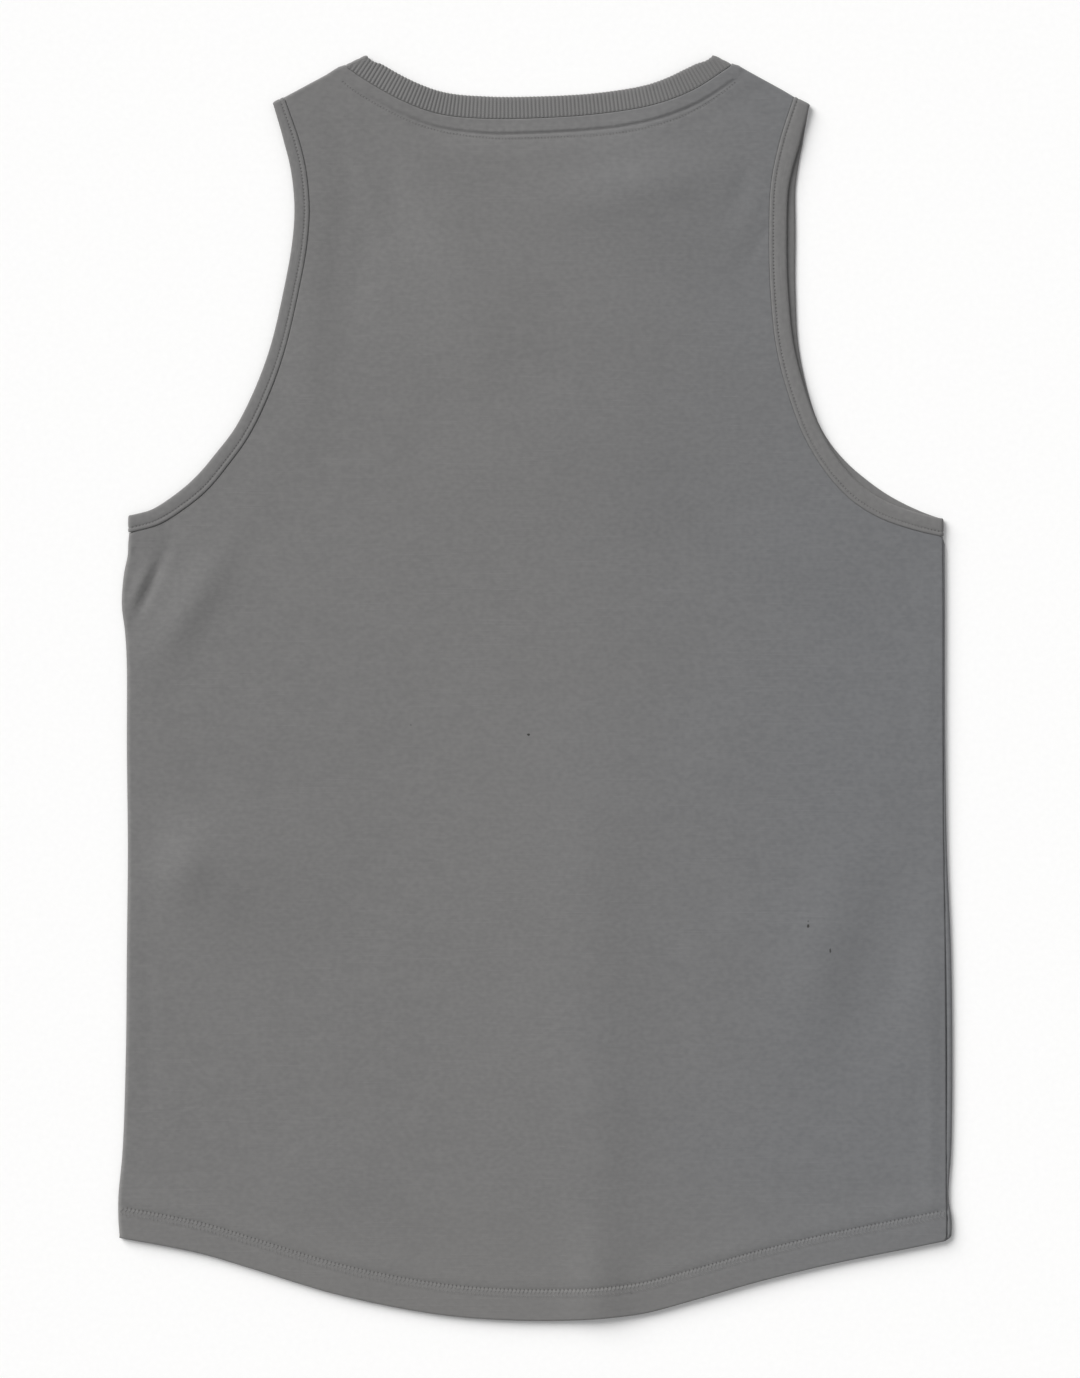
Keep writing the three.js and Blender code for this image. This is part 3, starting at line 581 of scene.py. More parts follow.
def jersey(name, alongSurface=False, rows=(), specked=False, paintedLightCast=False):
    fabric = Fabric(name, alongSurface)
    loops = fabric.loops()
    slub = fabric.noise(26, 1000).smooth(0.54, 0.72)  # thicker lengths of yarn
    patches = fabric.noise(7, 9)
    mottle = fabric.noise(55, 90)
    grain = fabric.noise(300, 430, 0.6)
    heather = fabric.noise(1500, 1500, 1.0)
    light = loops * 0.2 + heather * 0.35 + grain * 1.7 + mottle * 0.6
    light = light + patches * 0.5 + slub * 0.3 - 1.19
    colour = fabric.mix(tones["dark"], tones["light"], light)
    height = loops * knit["depth"] + heather * 0.00003 + slub * 0.00003
    if paintedLightCast:  # painted light: the right side is painted cooler and darker for the light falling off across the garment, and the hem is painted with a warmer light cast
        across = (fabric.x + patches * 0.12).smooth(0.02, 0.30)
        low = (fabric.y * -1 + patches * 0.05).smooth(0.30, 0.42)
        paintedShadeCool = fabric.mix(tones["shadedCoolDark"], tones["shadedCoolLight"], light)
        colour = fabric.mix(colour, paintedShadeCool, across * 0.85)
        colour = fabric.mix(colour, tones["paintedWarmCast"], low * 0.35)
    for run, away, width in rows:
        recessAndShade = fabric.holes(fabric.column(run), fabric.column(away), width)
        # painted shade: each needle hole is darkened as if shadowed, besides its real dip in the bump
        colour = fabric.mix(colour, tones["recessAndShade"], recessAndShade * 0.62)
        height = height - recessAndShade * 0.00022
    if specked:
        upper = fabric.column("upperSide")
        for across, up, halfWidth, halfHeight, strength in zip(*specks.values()):
            x = (fabric.x - (across - garment["middle"][0])) / halfWidth
            y = (fabric.y - (up - garment["middle"][1])) / halfHeight
            near = (x * x + y * y) * -1 + 1 + (heather - 0.5) * 1.6
            colour = fabric.mix(colour, tones["speck"], near.smooth(0.0, 0.7) * upper * strength)
    return fabric.finish(colour, height, patches * 0.1 + 0.84)


def ribKnit(name):  # the neckband's 1x1 rib: its ridges are in the mesh
    fabric = Fabric(name, True)
    heather = fabric.noise(1500, 1500, 1.0)
    valley = fabric.column("ribValley")
    fromCrest = abs(fabric.column("ribPhase").part() - 0.5)
    loop = (fabric.y / knit["ribLoop"] + fromCrest * 1.2).wave() * 0.5 + 0.5
    light = loop * 0.45 + heather * 0.5 - 0.02
    colour = fabric.mix(tones["dark"], tones["light"], light)
    # painted shade: the valleys between the ribs are darkened as if shadowed
    colour = fabric.mix(colour, tones["recessAndShade"], valley * 0.25)
    height = loop * 0.00009 + heather * 0.00003
    return fabric.finish(colour, height, heather * 0.1 + 0.82)


def threadFinish(name):  # the sewing thread, with its twist along it
    fabric = Fabric(name)
    twist = ((fabric.x + fabric.y * 1.7) / 0.0003).wave() * 0.5 + 0.5
    fuzz = fabric.noise(2500, 2500, 1.0)
    colour = fabric.mix(tones["light"], tones["thread"], twist * 0.5 + fuzz * 0.7)
    return fabric.finish(colour, twist * 0.00002 + fuzz * 0.00002, fuzz * 0.15 + 0.68)


# Geometry Nodes for what repeats along a path

def newTree(name, sizes):
    tree = bpy.data.node_groups.new(name, "GeometryNodeTree")
    tree.interface.new_socket("Geometry", in_out="INPUT", socket_type="NodeSocketGeometry")
    for label, kind in sizes.items():
        tree.interface.new_socket(label, in_out="INPUT", socket_type="NodeSocket" + kind)
    tree.interface.new_socket("Geometry", in_out="OUTPUT", socket_type="NodeSocketGeometry")
    source = tree.nodes.new("NodeGroupInput")
    return tree, {socket.name: Wire(tree, socket) for socket in source.outputs if socket.name}


def endTree(tree, shape, material):
    real = addNode(tree, "GeometryNodeRealizeInstances", None, {"Geometry": shape})
    inputs = {"Geometry": real, "Material": material}
    dressed = addNode(tree, "GeometryNodeSetMaterial", None, inputs)
    target = tree.nodes.new("NodeGroupOutput")
    tree.links.new(dressed.socket, target.inputs[0])
    return tree


def stitchTree():  # arched threads along a path, each turned by a slant from the path
    sizes = {
        "count": "Int", "length": "Float", "thread": "Float", "arch": "Float",
        "slant": "Float", "side": "Float", "seed": "Int", "material": "Material",
    }
    tree, given = newTree("stitchRow", sizes)
    path = addNode(tree, "GeometryNodeMeshToCurve", None, {"Mesh": given["Geometry"]})
    places = {"Curve": path, "Count": given["count"]}
    even = addNode(tree, "GeometryNodeResampleCurve", {"mode": "COUNT"}, places)
    tangent = addNode(tree, "GeometryNodeInputTangent")
    axes = {"axis": "X", "pivot_axis": "Z"}
    facing = addNode(tree, "FunctionNodeAlignRotationToVector", axes, {"Vector": tangent})
    uneven = {"data_type": "FLOAT"}
    spread = {2: -0.12, 3: 0.12, "Seed": given["seed"]}
    sway = addNode(tree, "FunctionNodeRandomValue", uneven, spread, 1)
    lean = addNode(tree, "ShaderNodeCombineXYZ", None, {"Z": given["slant"] + sway})
    leanTurn = addNode(tree, "FunctionNodeEulerToRotation", None, {"Euler": lean})
    turn = addNode(
        tree, "FunctionNodeRotateRotation", {"rotation_space": "LOCAL"}, {0: facing, 1: leanTurn}
    )
    half = given["length"] * 0.5
    sunk = given["thread"] * given["side"] * -0.7
    start = addNode(tree, "ShaderNodeCombineXYZ", None, {"X": half * -1, "Z": sunk})
    middle = addNode(tree, "ShaderNodeCombineXYZ", None, {"Z": given["arch"] * given["side"] * 2})
    end = addNode(tree, "ShaderNodeCombineXYZ", None, {"X": half, "Z": sunk})
    arc = addNode(
        tree,
        "GeometryNodeCurveQuadraticBezier",
        None,
        {"Resolution": 6, "Start": start, "Middle": middle, "End": end},
    )
    round7 = {"Resolution": 7, "Radius": given["thread"] * 0.5}
    ring = addNode(tree, "GeometryNodeCurvePrimitiveCircle", None, round7)
    sweep = {"Curve": arc, "Profile Curve": ring, "Fill Caps": True}
    tube = addNode(tree, "GeometryNodeCurveToMesh", None, sweep)
    smoothTube = addNode(tree, "GeometryNodeSetShadeSmooth", None, {"Geometry": tube})
    scales = {2: 0.9, 3: 1.1, "Seed": given["seed"] + 3}
    grow = addNode(tree, "FunctionNodeRandomValue", uneven, scales, 1)
    placed = addNode(
        tree,
        "GeometryNodeInstanceOnPoints",
        None,
        {"Points": even, "Instance": smoothTube, "Rotation": turn, "Scale": grow},
    )
    return endTree(tree, placed, given["material"])


def ribTree():  # ribs pressed into a band between its wales
    tree, given = newTree("ribs", {"depth": "Float", "sharpness": "Float", "material": "Material"})

    def attribute(name):
        settings = {"data_type": "FLOAT"}
        return addNode(tree, "GeometryNodeInputNamedAttribute", settings, {"Name": name})

    halfTurn = attribute("ribPhase").part() * np.pi
    crest = halfTurn.maths("SINE", halfTurn) ** given["sharpness"]
    fall = (crest - 1) * given["depth"] * attribute("ribWeight")
    normal = addNode(tree, "GeometryNodeInputNormal")
    scaled = {0: normal, "Scale": fall}
    offset = addNode(tree, "ShaderNodeVectorMath", {"operation": "SCALE"}, scaled)
    moved = addNode(
        tree, "GeometryNodeSetPosition", None, {"Geometry": given["Geometry"], "Offset": offset}
    )
    valley = addNode(
        tree,
        "GeometryNodeStoreNamedAttribute",
        {"data_type": "FLOAT", "domain": "POINT"},
        {"Geometry": moved, "Name": "ribValley", "Value": (1 - crest) * attribute("ribWeight")},
    )
    return endTree(tree, valley, given["material"])


def runTree(piece, tree, values):  # the modifier's result takes the place of the piece's mesh
    modifier = piece.modifiers.new(tree.name, "NODES")
    modifier.node_group = tree
    for item in tree.interface.items_tree:
        if item.in_out == "INPUT" and item.name in values:
            modifier[item.identifier] = values[item.name]
    evaluated = piece.evaluated_get(bpy.context.evaluated_depsgraph_get())
    made = bpy.data.meshes.new_from_object(evaluated)
    piece.modifiers.clear()
    piece.data = made
    made.name = piece.name


stitches = stitchTree()


def sewRow(name, rows, material):
    # one piece from several rows of stitches: path, pitch, length, slant, side, thread and arch
    made = []
    for number, row in enumerate(rows):
        path = np.array(row["path"], float)
        path[:, :2] -= garment["middle"]
        links = [(k, k + 1) for k in range(len(path) - 1)]
        mesh = bpy.data.meshes.new(name)
        mesh.from_pydata(path.tolist(), links, [])
        piece = bpy.data.objects.new(f"{name}{number}", mesh)
        bpy.context.scene.collection.objects.link(piece)
        values = {key: row[key] for key in ("count", "length", "thread", "arch", "slant", "side")}
        runTree(piece, stitches, {**values, "seed": 11 + number, "material": material})
        made.append(piece)
    with bpy.context.temp_override(active_object=made[0], selected_editable_objects=made):
        bpy.ops.object.join()
    made[0].name = name
    return made[0]


# The two panels

backCloth = {
    "spacing": 0.0030,  # of the even field
    "edgeSpacing": 0.0015,
    "crown": 0.0011,  # loose air between the two panels
    "fullness": 1.35,  # of the soft folds
    "rimShelf": 0.005,  # flat width of the thick rims
    "rimEase": 0.016,
    "hemEase": 0.036,
    "neckSagEase": 0.024,
    "leftEdge": 0.0012,  # height at which the back ends after wrapping round the left side
    "leftRoll": 0.0026,
    "rightEdge": 0.0025,  # and on the right, where the front wraps round instead
    "rightRoll": 0.0009,
    "seamDitch": 0.00055,
    "rightDitch": 0.00022,
    "seamRoll": 0.0007,
    "stripRise": 0.0006,
    "stripGroove": 0.00045,  # depth of the line below the strip
    "needleDip": 0.00016,
    "waves": {"height": 0.00009, "shortest": 0.05, "longest": 0.16},
    "hemGrooves": (  # above the hem's turned edge, half width and depth
        (0.0003, 0.0006, 0.00034), (0.0012, 0.0024, 0.00026),
    ),
    "braidGroove": 0.00010,  # below the hem's stitches
    "foldRise": 0.00005,  # of the shoulder edge over the fold's middle
    "hemEdge": (0.00095, 0.00105),  # heights of the hem's rounded edge over its underside
    "edgeRoll": 0.001,
}
neckbandSizes = {
    "sag": 0.0019,  # the back neckband sinks this far to the table between the shoulders
    "sagFrom": 0.042,
    "sagRise": 0.048,
    "ribPitch": 0.00243,
    "ribDepth": 0.0005,
    "tipReach": 0.0005,
    "foldRibs": 0.4,  # share of the ribs' depth on the folds
}
softFolds = table(  # middle, turn from X in degrees, half length, half width, rise
    "across up turn half wide rise",
    (-0.114, 0.654, 82, 0.046, 0.017, -0.0012),
    (-0.058, 0.668, -66, 0.060, 0.021, 0.0012),
    (-0.034, 0.634, -40, 0.046, 0.040, 0.0022),
    (0.024, 0.566, -40, 0.074, 0.062, 0.0024),
    (-0.137, 0.598, 84, 0.055, 0.014, 0.0007),
    (-0.098, 0.700, -62, 0.040, 0.016, -0.0008),
    (0.064, 0.699, 10, 0.048, 0.017, 0.0018),
    (0.082, 0.676, -14, 0.044, 0.026, 0.0012),
    (-0.003, 0.606, 8, 0.060, 0.026, 0.0006),
    (0.078, 0.612, -32, 0.060, 0.022, 0.0005),
    (-0.238, 0.459, 68, 0.025, 0.006, -0.0015),
    (-0.211, 0.441, 58, 0.038, 0.012, 0.0016),
    (-0.215, 0.281, 84, 0.022, 0.016, 0.0021),
    (-0.196, 0.276, 84, 0.032, 0.026, 0.0013),
    (-0.166, 0.268, 84, 0.050, 0.046, 0.0010),
    (0.034, 0.268, 91, 0.105, 0.024, 0.0005),
    (0.010, 0.190, 91, 0.150, 0.052, 0.0012),
    (0.038, 0.106, 91, 0.100, 0.021, 0.0010),
    (0.038, 0.020, 96, 0.032, 0.016, 0.0014),
    (0.176, 0.226, 76, 0.050, 0.019, 0.0008),
    (0.210, 0.214, 76, 0.056, 0.020, -0.0010),
    (0.236, 0.200, 86, 0.050, 0.010, 0.0005),
    (0.158, 0.474, -36, 0.044, 0.020, 0.0011),
    (0.070, 0.540, -30, 0.060, 0.034, 0.0012),
    (-0.126, 0.088, 18, 0.042, 0.024, 0.0005),
)
creases = table(  # narrower ones, on top of the soft folds
    "across up turn half wide rise",
    (0.242, 0.382, 88, 0.030, 0.009, 0.0004),
    (0.131, 0.681, 70, 0.026, 0.006, 0.0004),
    (0.138, 0.664, 62, 0.014, 0.0035, -0.0003),
    (0.127, 0.700, 74, 0.016, 0.004, -0.0003),
    (-0.237, 0.180, 90, 0.080, 0.005, -0.0003),
    (-0.2432, 0.4515, 65, 0.020, 0.0040, 0.0014),
    (-0.2366, 0.4530, 64, 0.022, 0.0026, -0.0012),
    (-0.2468, 0.4732, 50, 0.006, 0.0022, -0.0009),
    (0.2440, 0.1350, 90, 0.080, 0.0060, 0.0006),
    (-0.120, 0.742, -20, 0.018, 0.006, 0.0003),
    (0.128, 0.752, 24, 0.020, 0.005, -0.00025),
    (0.120, 0.512, 10, 0.050, 0.010, 0.0002),
    (-0.150, 0.360, 4, 0.060, 0.012, 0.0002),
)
puckers = table(  # where the neck seam's turnings gather a little
    "across halfWidth depth",
    (-0.0440, 0.0009, 0.00010), (-0.0390, 0.0008, 0.00012), (-0.0340, 0.0008, 0.00008),
    (-0.0280, 0.0010, 0.00014), (-0.0225, 0.0007, 0.00010), (-0.0180, 0.0008, 0.00015),
    (-0.0138, 0.0007, 0.00010), (-0.0085, 0.0008, 0.00013), (-0.0020, 0.0009, 0.00008),
    (0.0230, 0.0009, 0.00006), (0.0480, 0.0008, 0.00008), (0.0560, 0.0008, 0.00006),
)
neckDetails = table(  # along the back neck: the strip's edge and the stitches, from the seam
    "across strip stripPart stitch",
    (-0.121, 0.0068, 0.25, 0.0078),
    (-0.106, 0.0070, 0.35, 0.0092),
    (-0.081, 0.0072, 0.60, 0.0095),
    (-0.056, 0.0078, 0.90, 0.0103),
    (-0.026, 0.0089, 1.00, 0.0121),
    (0.016, 0.0087, 1.00, 0.0125),
    (0.050, 0.0090, 0.95, 0.0134),
    (0.086, 0.0082, 0.85, 0.0123),
    (0.109, 0.0080, 0.70, 0.0108),
    (0.121, 0.0078, 0.55, 0.0100),
)
hemStitches = {
    "fromHem": 0.0190,  # top of the braid of stitches
    "band": 0.0052,  # its height
    "pitch": 0.00245,
    "length": 0.0029,
    "slant": 0.95,
    "thread": 0.00028,
    "arch": 0.00020,
}


def foldRise(folded, places):
    rise = np.zeros(len(places))
    for across, up, turn, half, wide, height in zip(*folded.values()):
        angle = np.radians(turn)
        x, y = places[:, 0] - across, places[:, 1] - up
        along = x * np.cos(angle) + y * np.sin(angle)
        aside = y * np.cos(angle) - x * np.sin(angle)
        rise += height * np.exp(-((along / half) ** 2) - (aside / wide) ** 2)
    return rise


def undulation(places, seed, height, shortest, longest, count=14):
    # faint uneven waves that loose cloth keeps
    draws = np.random.default_rng(seed)
    rise = np.zeros(len(places))
    for _ in range(count):
        angle, phase = draws.uniform(0, np.pi), draws.uniform(0, 2 * np.pi)
        length = draws.uniform(shortest, longest)
        aside = places[:, 0] * np.cos(angle) + places[:, 1] * np.sin(angle)
        rise += np.cos(aside * 2 * np.pi / length + phase)
    return rise * height / np.sqrt(count)


def neckUnderside(across):
    sizes = neckbandSizes
    sagging = ease(np.abs(across) - sizes["sagFrom"], sizes["sagRise"])
    return garment["upperBand"] - sizes["sag"] * sagging


def furrow(distance, width):  # 1 in the middle of a groove, 0 beyond its half width
    return np.exp(-((distance / width) ** 2))


# The rows of stitches on the panels, as places in the plane
backNeckRuns = np.linspace(0.002, backNeck.length - 0.002, 160)
backNeckAcross = backNeck.at(backNeckRuns)[0][:, 0]
backNeckAways = np.interp(backNeckAcross, neckDetails["across"], neckDetails["stitch"])
backNeckRow = backNeck.beside(backNeckRuns, backNeckAways)
frontNeckRuns = np.linspace(0.004, frontNeck.length - 0.004, 200)
frontNeckRow = frontNeck.beside(frontNeckRuns, 0.0095)


def hemRow(edges, fromHem):  # a line at a height above a panel's hem, from side to side
    ends = edges["hem"][0, 0] + 0.0015, edges["hem"][-1, 0] - 0.0015
    across = np.linspace(*ends, 240)
    return np.column_stack([across, hemUpAt(across) + fromHem])


backHemRow = hemRow(backEdges, hemStitches["fromHem"])
frontHemRow = hemRow(frontEdges, hemStitches["fromHem"])
neckStitchPitch, neckStitchLength = 0.0020, 0.0015


def stitchColumns(places, neckRow, neckPitch, hemLineOfStitches):
    # where each place lies along and beside the rows of stitches, for the needle holes
    neckAway, neckRun = awayFrom(neckRow, places)
    hemAway, hemRun = awayFrom(hemLineOfStitches, places)
    neckCount = round(lengthsAlong(neckRow)[-1] / neckPitch)
    hemCount = round(lengthsAlong(hemLineOfStitches)[-1] / hemStitches["pitch"])
    return {
        "neckRun": neckRun / lengthsAlong(neckRow)[-1] * neckCount,
        "neckAway": neckAway,
        "hemRun": hemRun / lengthsAlong(hemLineOfStitches)[-1] * hemCount,
        "hemAway": hemAway,
    }


frontNeckMiddle = frontNeck.beside(np.linspace(0, frontNeck.length, 160), -neckWidth / 2)


def backSurface(places):
    sizes, x, y = backCloth, places[:, 0], places[:, 1]
    away = {name: found[0] for name, found in distances(backEdges, places).items()}
    fromArmhole = np.minimum(away["leftArmhole"], away["rightArmhole"])
    fromShoulder = np.minimum(away["leftShoulder"], away["rightShoulder"])
    fromSide = np.minimum(away["left"], away["right"])
    fromNeck = away["neck"]
    fromHem = y - hemUpAt(x)

    # the underside lies over the front's thick rims, hem and neckband, with loose air between
    bandStep = garment["upperBand"] - garment["upperCloth"]
    rimAway = np.minimum(np.minimum(fromArmhole, fromShoulder), fromSide) - sizes["rimShelf"]
    overRim = bandStep * ease(rimAway, sizes["rimEase"])
    fromNeckband = awayFrom(frontNeckMiddle, places)[0] - neckWidth / 2 - 0.001
    overNeckband = bandStep * ease(fromNeckband, sizes["rimEase"])
    hemStep = bandStep + garment["doubled"] - garment["cloth"]
    overHem = hemStep * ease(fromHem - garment["hemDepth"], sizes["hemEase"])
    folded = foldRise(softFolds, places) * sizes["fullness"]
    loose = np.maximum(sizes["crown"] + folded, 0)
    overThick = np.maximum(np.maximum(overRim, overNeckband), overHem)
    lifted = garment["upperCloth"] + softMax(overThick, loose)
    hemLow = garment["upperBand"] + np.maximum(folded, 0)
    neckLow = neckUnderside(x) + (garment["doubled"] - garment["cloth"]) / 2
    inHem = fromHem < garment["hemDepth"]
    low = blend(np.where(inHem, hemLow, lifted), neckLow, ease(fromNeck, sizes["neckSagEase"]))
    wall = np.where(inHem, garment["doubled"], garment["cloth"])
    high = low + wall

    # creases, seams and stitching on the outside
    loosePart = smooth(np.minimum(np.minimum(fromArmhole, fromNeck), fromSide), 0.003, 0.02)
    high = high + foldRise(creases, places) * smooth(fromSide, 0.0, 0.01)
    high = high + undulation(places, 5, **sizes["waves"]) * loosePart
    detail = {key: np.interp(x, neckDetails["across"], neckDetails[key]) for key in neckDetails}
    stripEdge = 1 - smooth(fromNeck, detail["strip"] - 0.0012, detail["strip"] + 0.0004)
    high = high + sizes["stripRise"] * detail["stripPart"] * stripEdge
    belowStrip = furrow(fromNeck - detail["strip"] - 0.0007, 0.0008)
    high = high - sizes["stripGroove"] * detail["stripPart"] * belowStrip
    onStrip = smooth(fromNeck, 0.0008, 0.002) * stripEdge
    for across, halfWidth, depth in zip(*puckers.values()):
        high = high - depth * furrow(x - across, halfWidth) * onStrip
    columns = stitchColumns(places, backNeckRow, neckStitchPitch, backHemRow)
    high = high - sizes["needleDip"] * furrow(columns["neckAway"], 0.0007)
    for above, halfWidth, depth in sizes["hemGrooves"]:
        high = high - depth * furrow(fromHem - hemStitches["fromHem"] - above, halfWidth)
    braidFoot = hemStitches["fromHem"] - hemStitches["band"]
    high = high - sizes["braidGroove"] * furrow(fromHem - braidFoot, 0.0007)

    # rounded edges
    fromSeam = np.minimum(fromArmhole, fromNeck)
    ditch = np.where(away["rightArmhole"] < 0.01, sizes["rightDitch"], sizes["seamDitch"])
    high = high - ditch * (1 - roundRise(fromSeam, sizes["seamRoll"]))
    high = blend(sizes["leftEdge"], high, roundRise(away["left"], sizes["leftRoll"]))
    high = blend(sizes["rightEdge"], high, roundRise(away["right"], sizes["rightRoll"]))
    shoulderPart = roundRise(fromShoulder, garment["panelOverFold"])
    high = blend(garment["foldMiddle"] + sizes["foldRise"], high, shoulderPart)
    hemPart = roundRise(away["hem"], sizes["edgeRoll"])
    low = blend(garment["upperBand"] + sizes["hemEdge"][0], low, hemPart)
    high = blend(garment["upperBand"] + sizes["hemEdge"][1], high, hemPart)
    low = blend(sizes["leftEdge"] - 0.0001, low, smooth(away["left"], 0.0007, 0.0016))
    low = blend(garment["foldMiddle"] + 0.00002, low, smooth(fromShoulder, 0.0007, 0.0016))
    return {"high": high, "low": np.minimum(low, high - 0.00004), "columns": columns}


frontCloth = {
    "spacing": 0.0040,
    "edgeSpacing": 0.0015,
    "rimShelf": 0.0025,
    "rimEase": 0.003,
    "leftEdge": 0.0010,
    "lipTop": 0.0031,  # the front wraps round the right side up to the level of the back
    "lipDitch": 0.0025,
    "lipRoll": 0.0007,
    "lipEdge": 0.0015,  # height of the middle of the rounded right side
    "lipOnHem": 0.0008,  # the lip stands higher beside the hem
    "needleRise": 0.00035,  # the underside's seams and stitches are pressed up into the cloth
    "braidRise": 0.00042,
    "seamRise": 0.00040,
    "hemEdge": (0.00095, 0.00105),
    "edgeRoll": 0.001,
}


def frontSurface(places):
    sizes, x, y = frontCloth, places[:, 0], places[:, 1]
    away = {name: found[0] for name, found in distances(frontEdges, places).items()}
    fromShoulder = np.minimum(away["leftShoulder"], away["rightShoulder"])
    fromSide = np.minimum(away["left"], away["right"])
    fromSeam = np.minimum(np.minimum(away["leftArmhole"], away["rightArmhole"]), away["neck"])
    fromHem = y - hemUpAt(x)
    rim = ease(np.minimum(fromSide, fromShoulder) - sizes["rimShelf"], sizes["rimEase"])
    inHem = fromHem < garment["hemDepth"]
    high = np.where(inHem, garment["doubled"], blend(garment["cloth"], garment["doubled"], rim))
    low = np.zeros(len(places))

    beyond = np.where(y < sideRows["up"][-1] + 0.004, x - rightSideAt(y), -1)
    lipRise = np.where(inHem, sizes["lipOnHem"], 0)
    lip = blend(sizes["lipDitch"], sizes["lipTop"] + lipRise, roundRise(beyond, sizes["lipRoll"]))
    high = np.where(beyond > 0, lip, high)
    outerRoll = np.clip(rightPeekAt(y) * 0.8, 0.0009, 0.0020)

    # the outside rests on the table: seams and stitching are pressed up into it
    columns = stitchColumns(places, frontNeckRow, neckStitchPitch, frontHemRow)
    low = low + sizes["needleRise"] * furrow(columns["neckAway"], 0.0008)
    halfBraid = hemStitches["band"] / 2
    intoBraid = halfBraid - np.abs(fromHem - hemStitches["fromHem"] + halfBraid)
    low = low + sizes["braidRise"] * smooth(intoBraid, -0.0008, 0.0003)
    low = low + sizes["seamRise"] * (1 - roundRise(fromSeam, 0.0007))

    high = blend(sizes["leftEdge"], high, roundRise(away["left"], 0.001))
    low = blend(sizes["leftEdge"] - 0.0001, low, roundRise(away["left"], 0.0012))
    high = blend(sizes["lipEdge"] + 0.0001, high, roundRise(away["right"], outerRoll))
    low = blend(sizes["lipEdge"], low, roundRise(away["right"], 0.0018))
    high = blend(garment["foldMiddle"] - 0.00002, high, smooth(fromShoulder, 0.0007, 0.0016))
    shoulderPart = roundRise(fromShoulder, garment["panelOverFold"])
    low = blend(garment["foldMiddle"] - 0.00008, low, shoulderPart)
    hemPart = roundRise(away["hem"], sizes["edgeRoll"])
    low = blend(sizes["hemEdge"][0], low, hemPart)
    high = blend(sizes["hemEdge"][1], high, hemPart)
    return {"high": high, "low": np.minimum(low, high - 0.00004), "columns": columns}


needleRows = (("neckRun", "neckAway", 0.00075), ("hemRun", "hemAway", 0.0008))
panelMaterials = {
    "back": jersey("backJersey", rows=needleRows, specked=True, paintedLightCast=True),
    "front": jersey("frontJersey", rows=needleRows, paintedLightCast=True),
}
edgeRings = (0.0001, 0.0003, 0.0006, 0.0010, 0.0015, 0.0022, 0.0030, 0.0042)
plainRings = (0.0004, 0.0010, 0.0018, 0.0045)


def rowsAt(makeRow, offsets, spacing):
    return [evenly(makeRow(offset), spacing) for offset in offsets]


hemOffsets = (  # rows of mesh points round the stitches, from the hem and from the seams
    0.0110, 0.0125, 0.0134, 0.0142, 0.0152, 0.0165, 0.0176,
    0.0184, 0.0190, 0.0196, 0.0203, 0.0213, 0.0228,
)
neckOffsets = (
    0.0050, 0.0060, 0.0068, 0.0076, 0.0084, 0.0092,
    0.0100, 0.0108, 0.0116, 0.0124, 0.0133, 0.0144,
)
frontNeckOffsets = (0.0080, 0.0088, 0.0095, 0.0102, 0.0110)
neckRunsClose = np.linspace(0.003, backNeck.length - 0.003, 240)

backOutline = outlineOf(backEdges, backCloth["edgeSpacing"])
backRows = rowsAt(lambda rise: hemRow(backEdges, rise), hemOffsets, 0.0015)
backRows += rowsAt(lambda away: backNeck.beside(neckRunsClose, away), neckOffsets, 0.0010)
backPanel = newPiece(
    "backPanel",
    panelMesh(
        "backPanel",
        backOutline,
        fillPlaces(backOutline, edgeRings, backRows, backCloth["spacing"]),
        fillPlaces(backOutline, plainRings, [], 0.008),
        backSurface,
    ),
    panelMaterials["back"],
)
print("back panel:", len(backPanel.data.polygons), "faces")

frontOutline = outlineOf(frontEdges, frontCloth["edgeSpacing"])
frontRows = rowsAt(lambda rise: hemRow(frontEdges, rise), hemOffsets, 0.0020)
frontRows += rowsAt(lambda away: frontNeck.beside(frontNeckRuns, away), frontNeckOffsets, 0.0016)
lipUp = np.linspace(hemLine[-1, 1] + 0.002, sideRows["up"][-1], 300)
lipRows = [
    evenly(np.column_stack([rightSideAt(lipUp) + offset, lipUp]), 0.0015)
    for offset in (-0.0003, -0.00003, 0.00003, 0.00015, 0.0004, 0.0008)
]
frontPanel = newPiece(
    "frontPanel",
    panelMesh(
        "frontPanel",
        frontOutline,
        fillPlaces(frontOutline, edgeRings, lipRows, 0.0045),
        fillPlaces(frontOutline, edgeRings, frontRows, frontCloth["spacing"]),
        frontSurface,
    ),
    panelMaterials["front"],
)
print("front panel:", len(frontPanel.data.polygons), "faces")

# The bands: strips folded double, each a closed ring round its opening

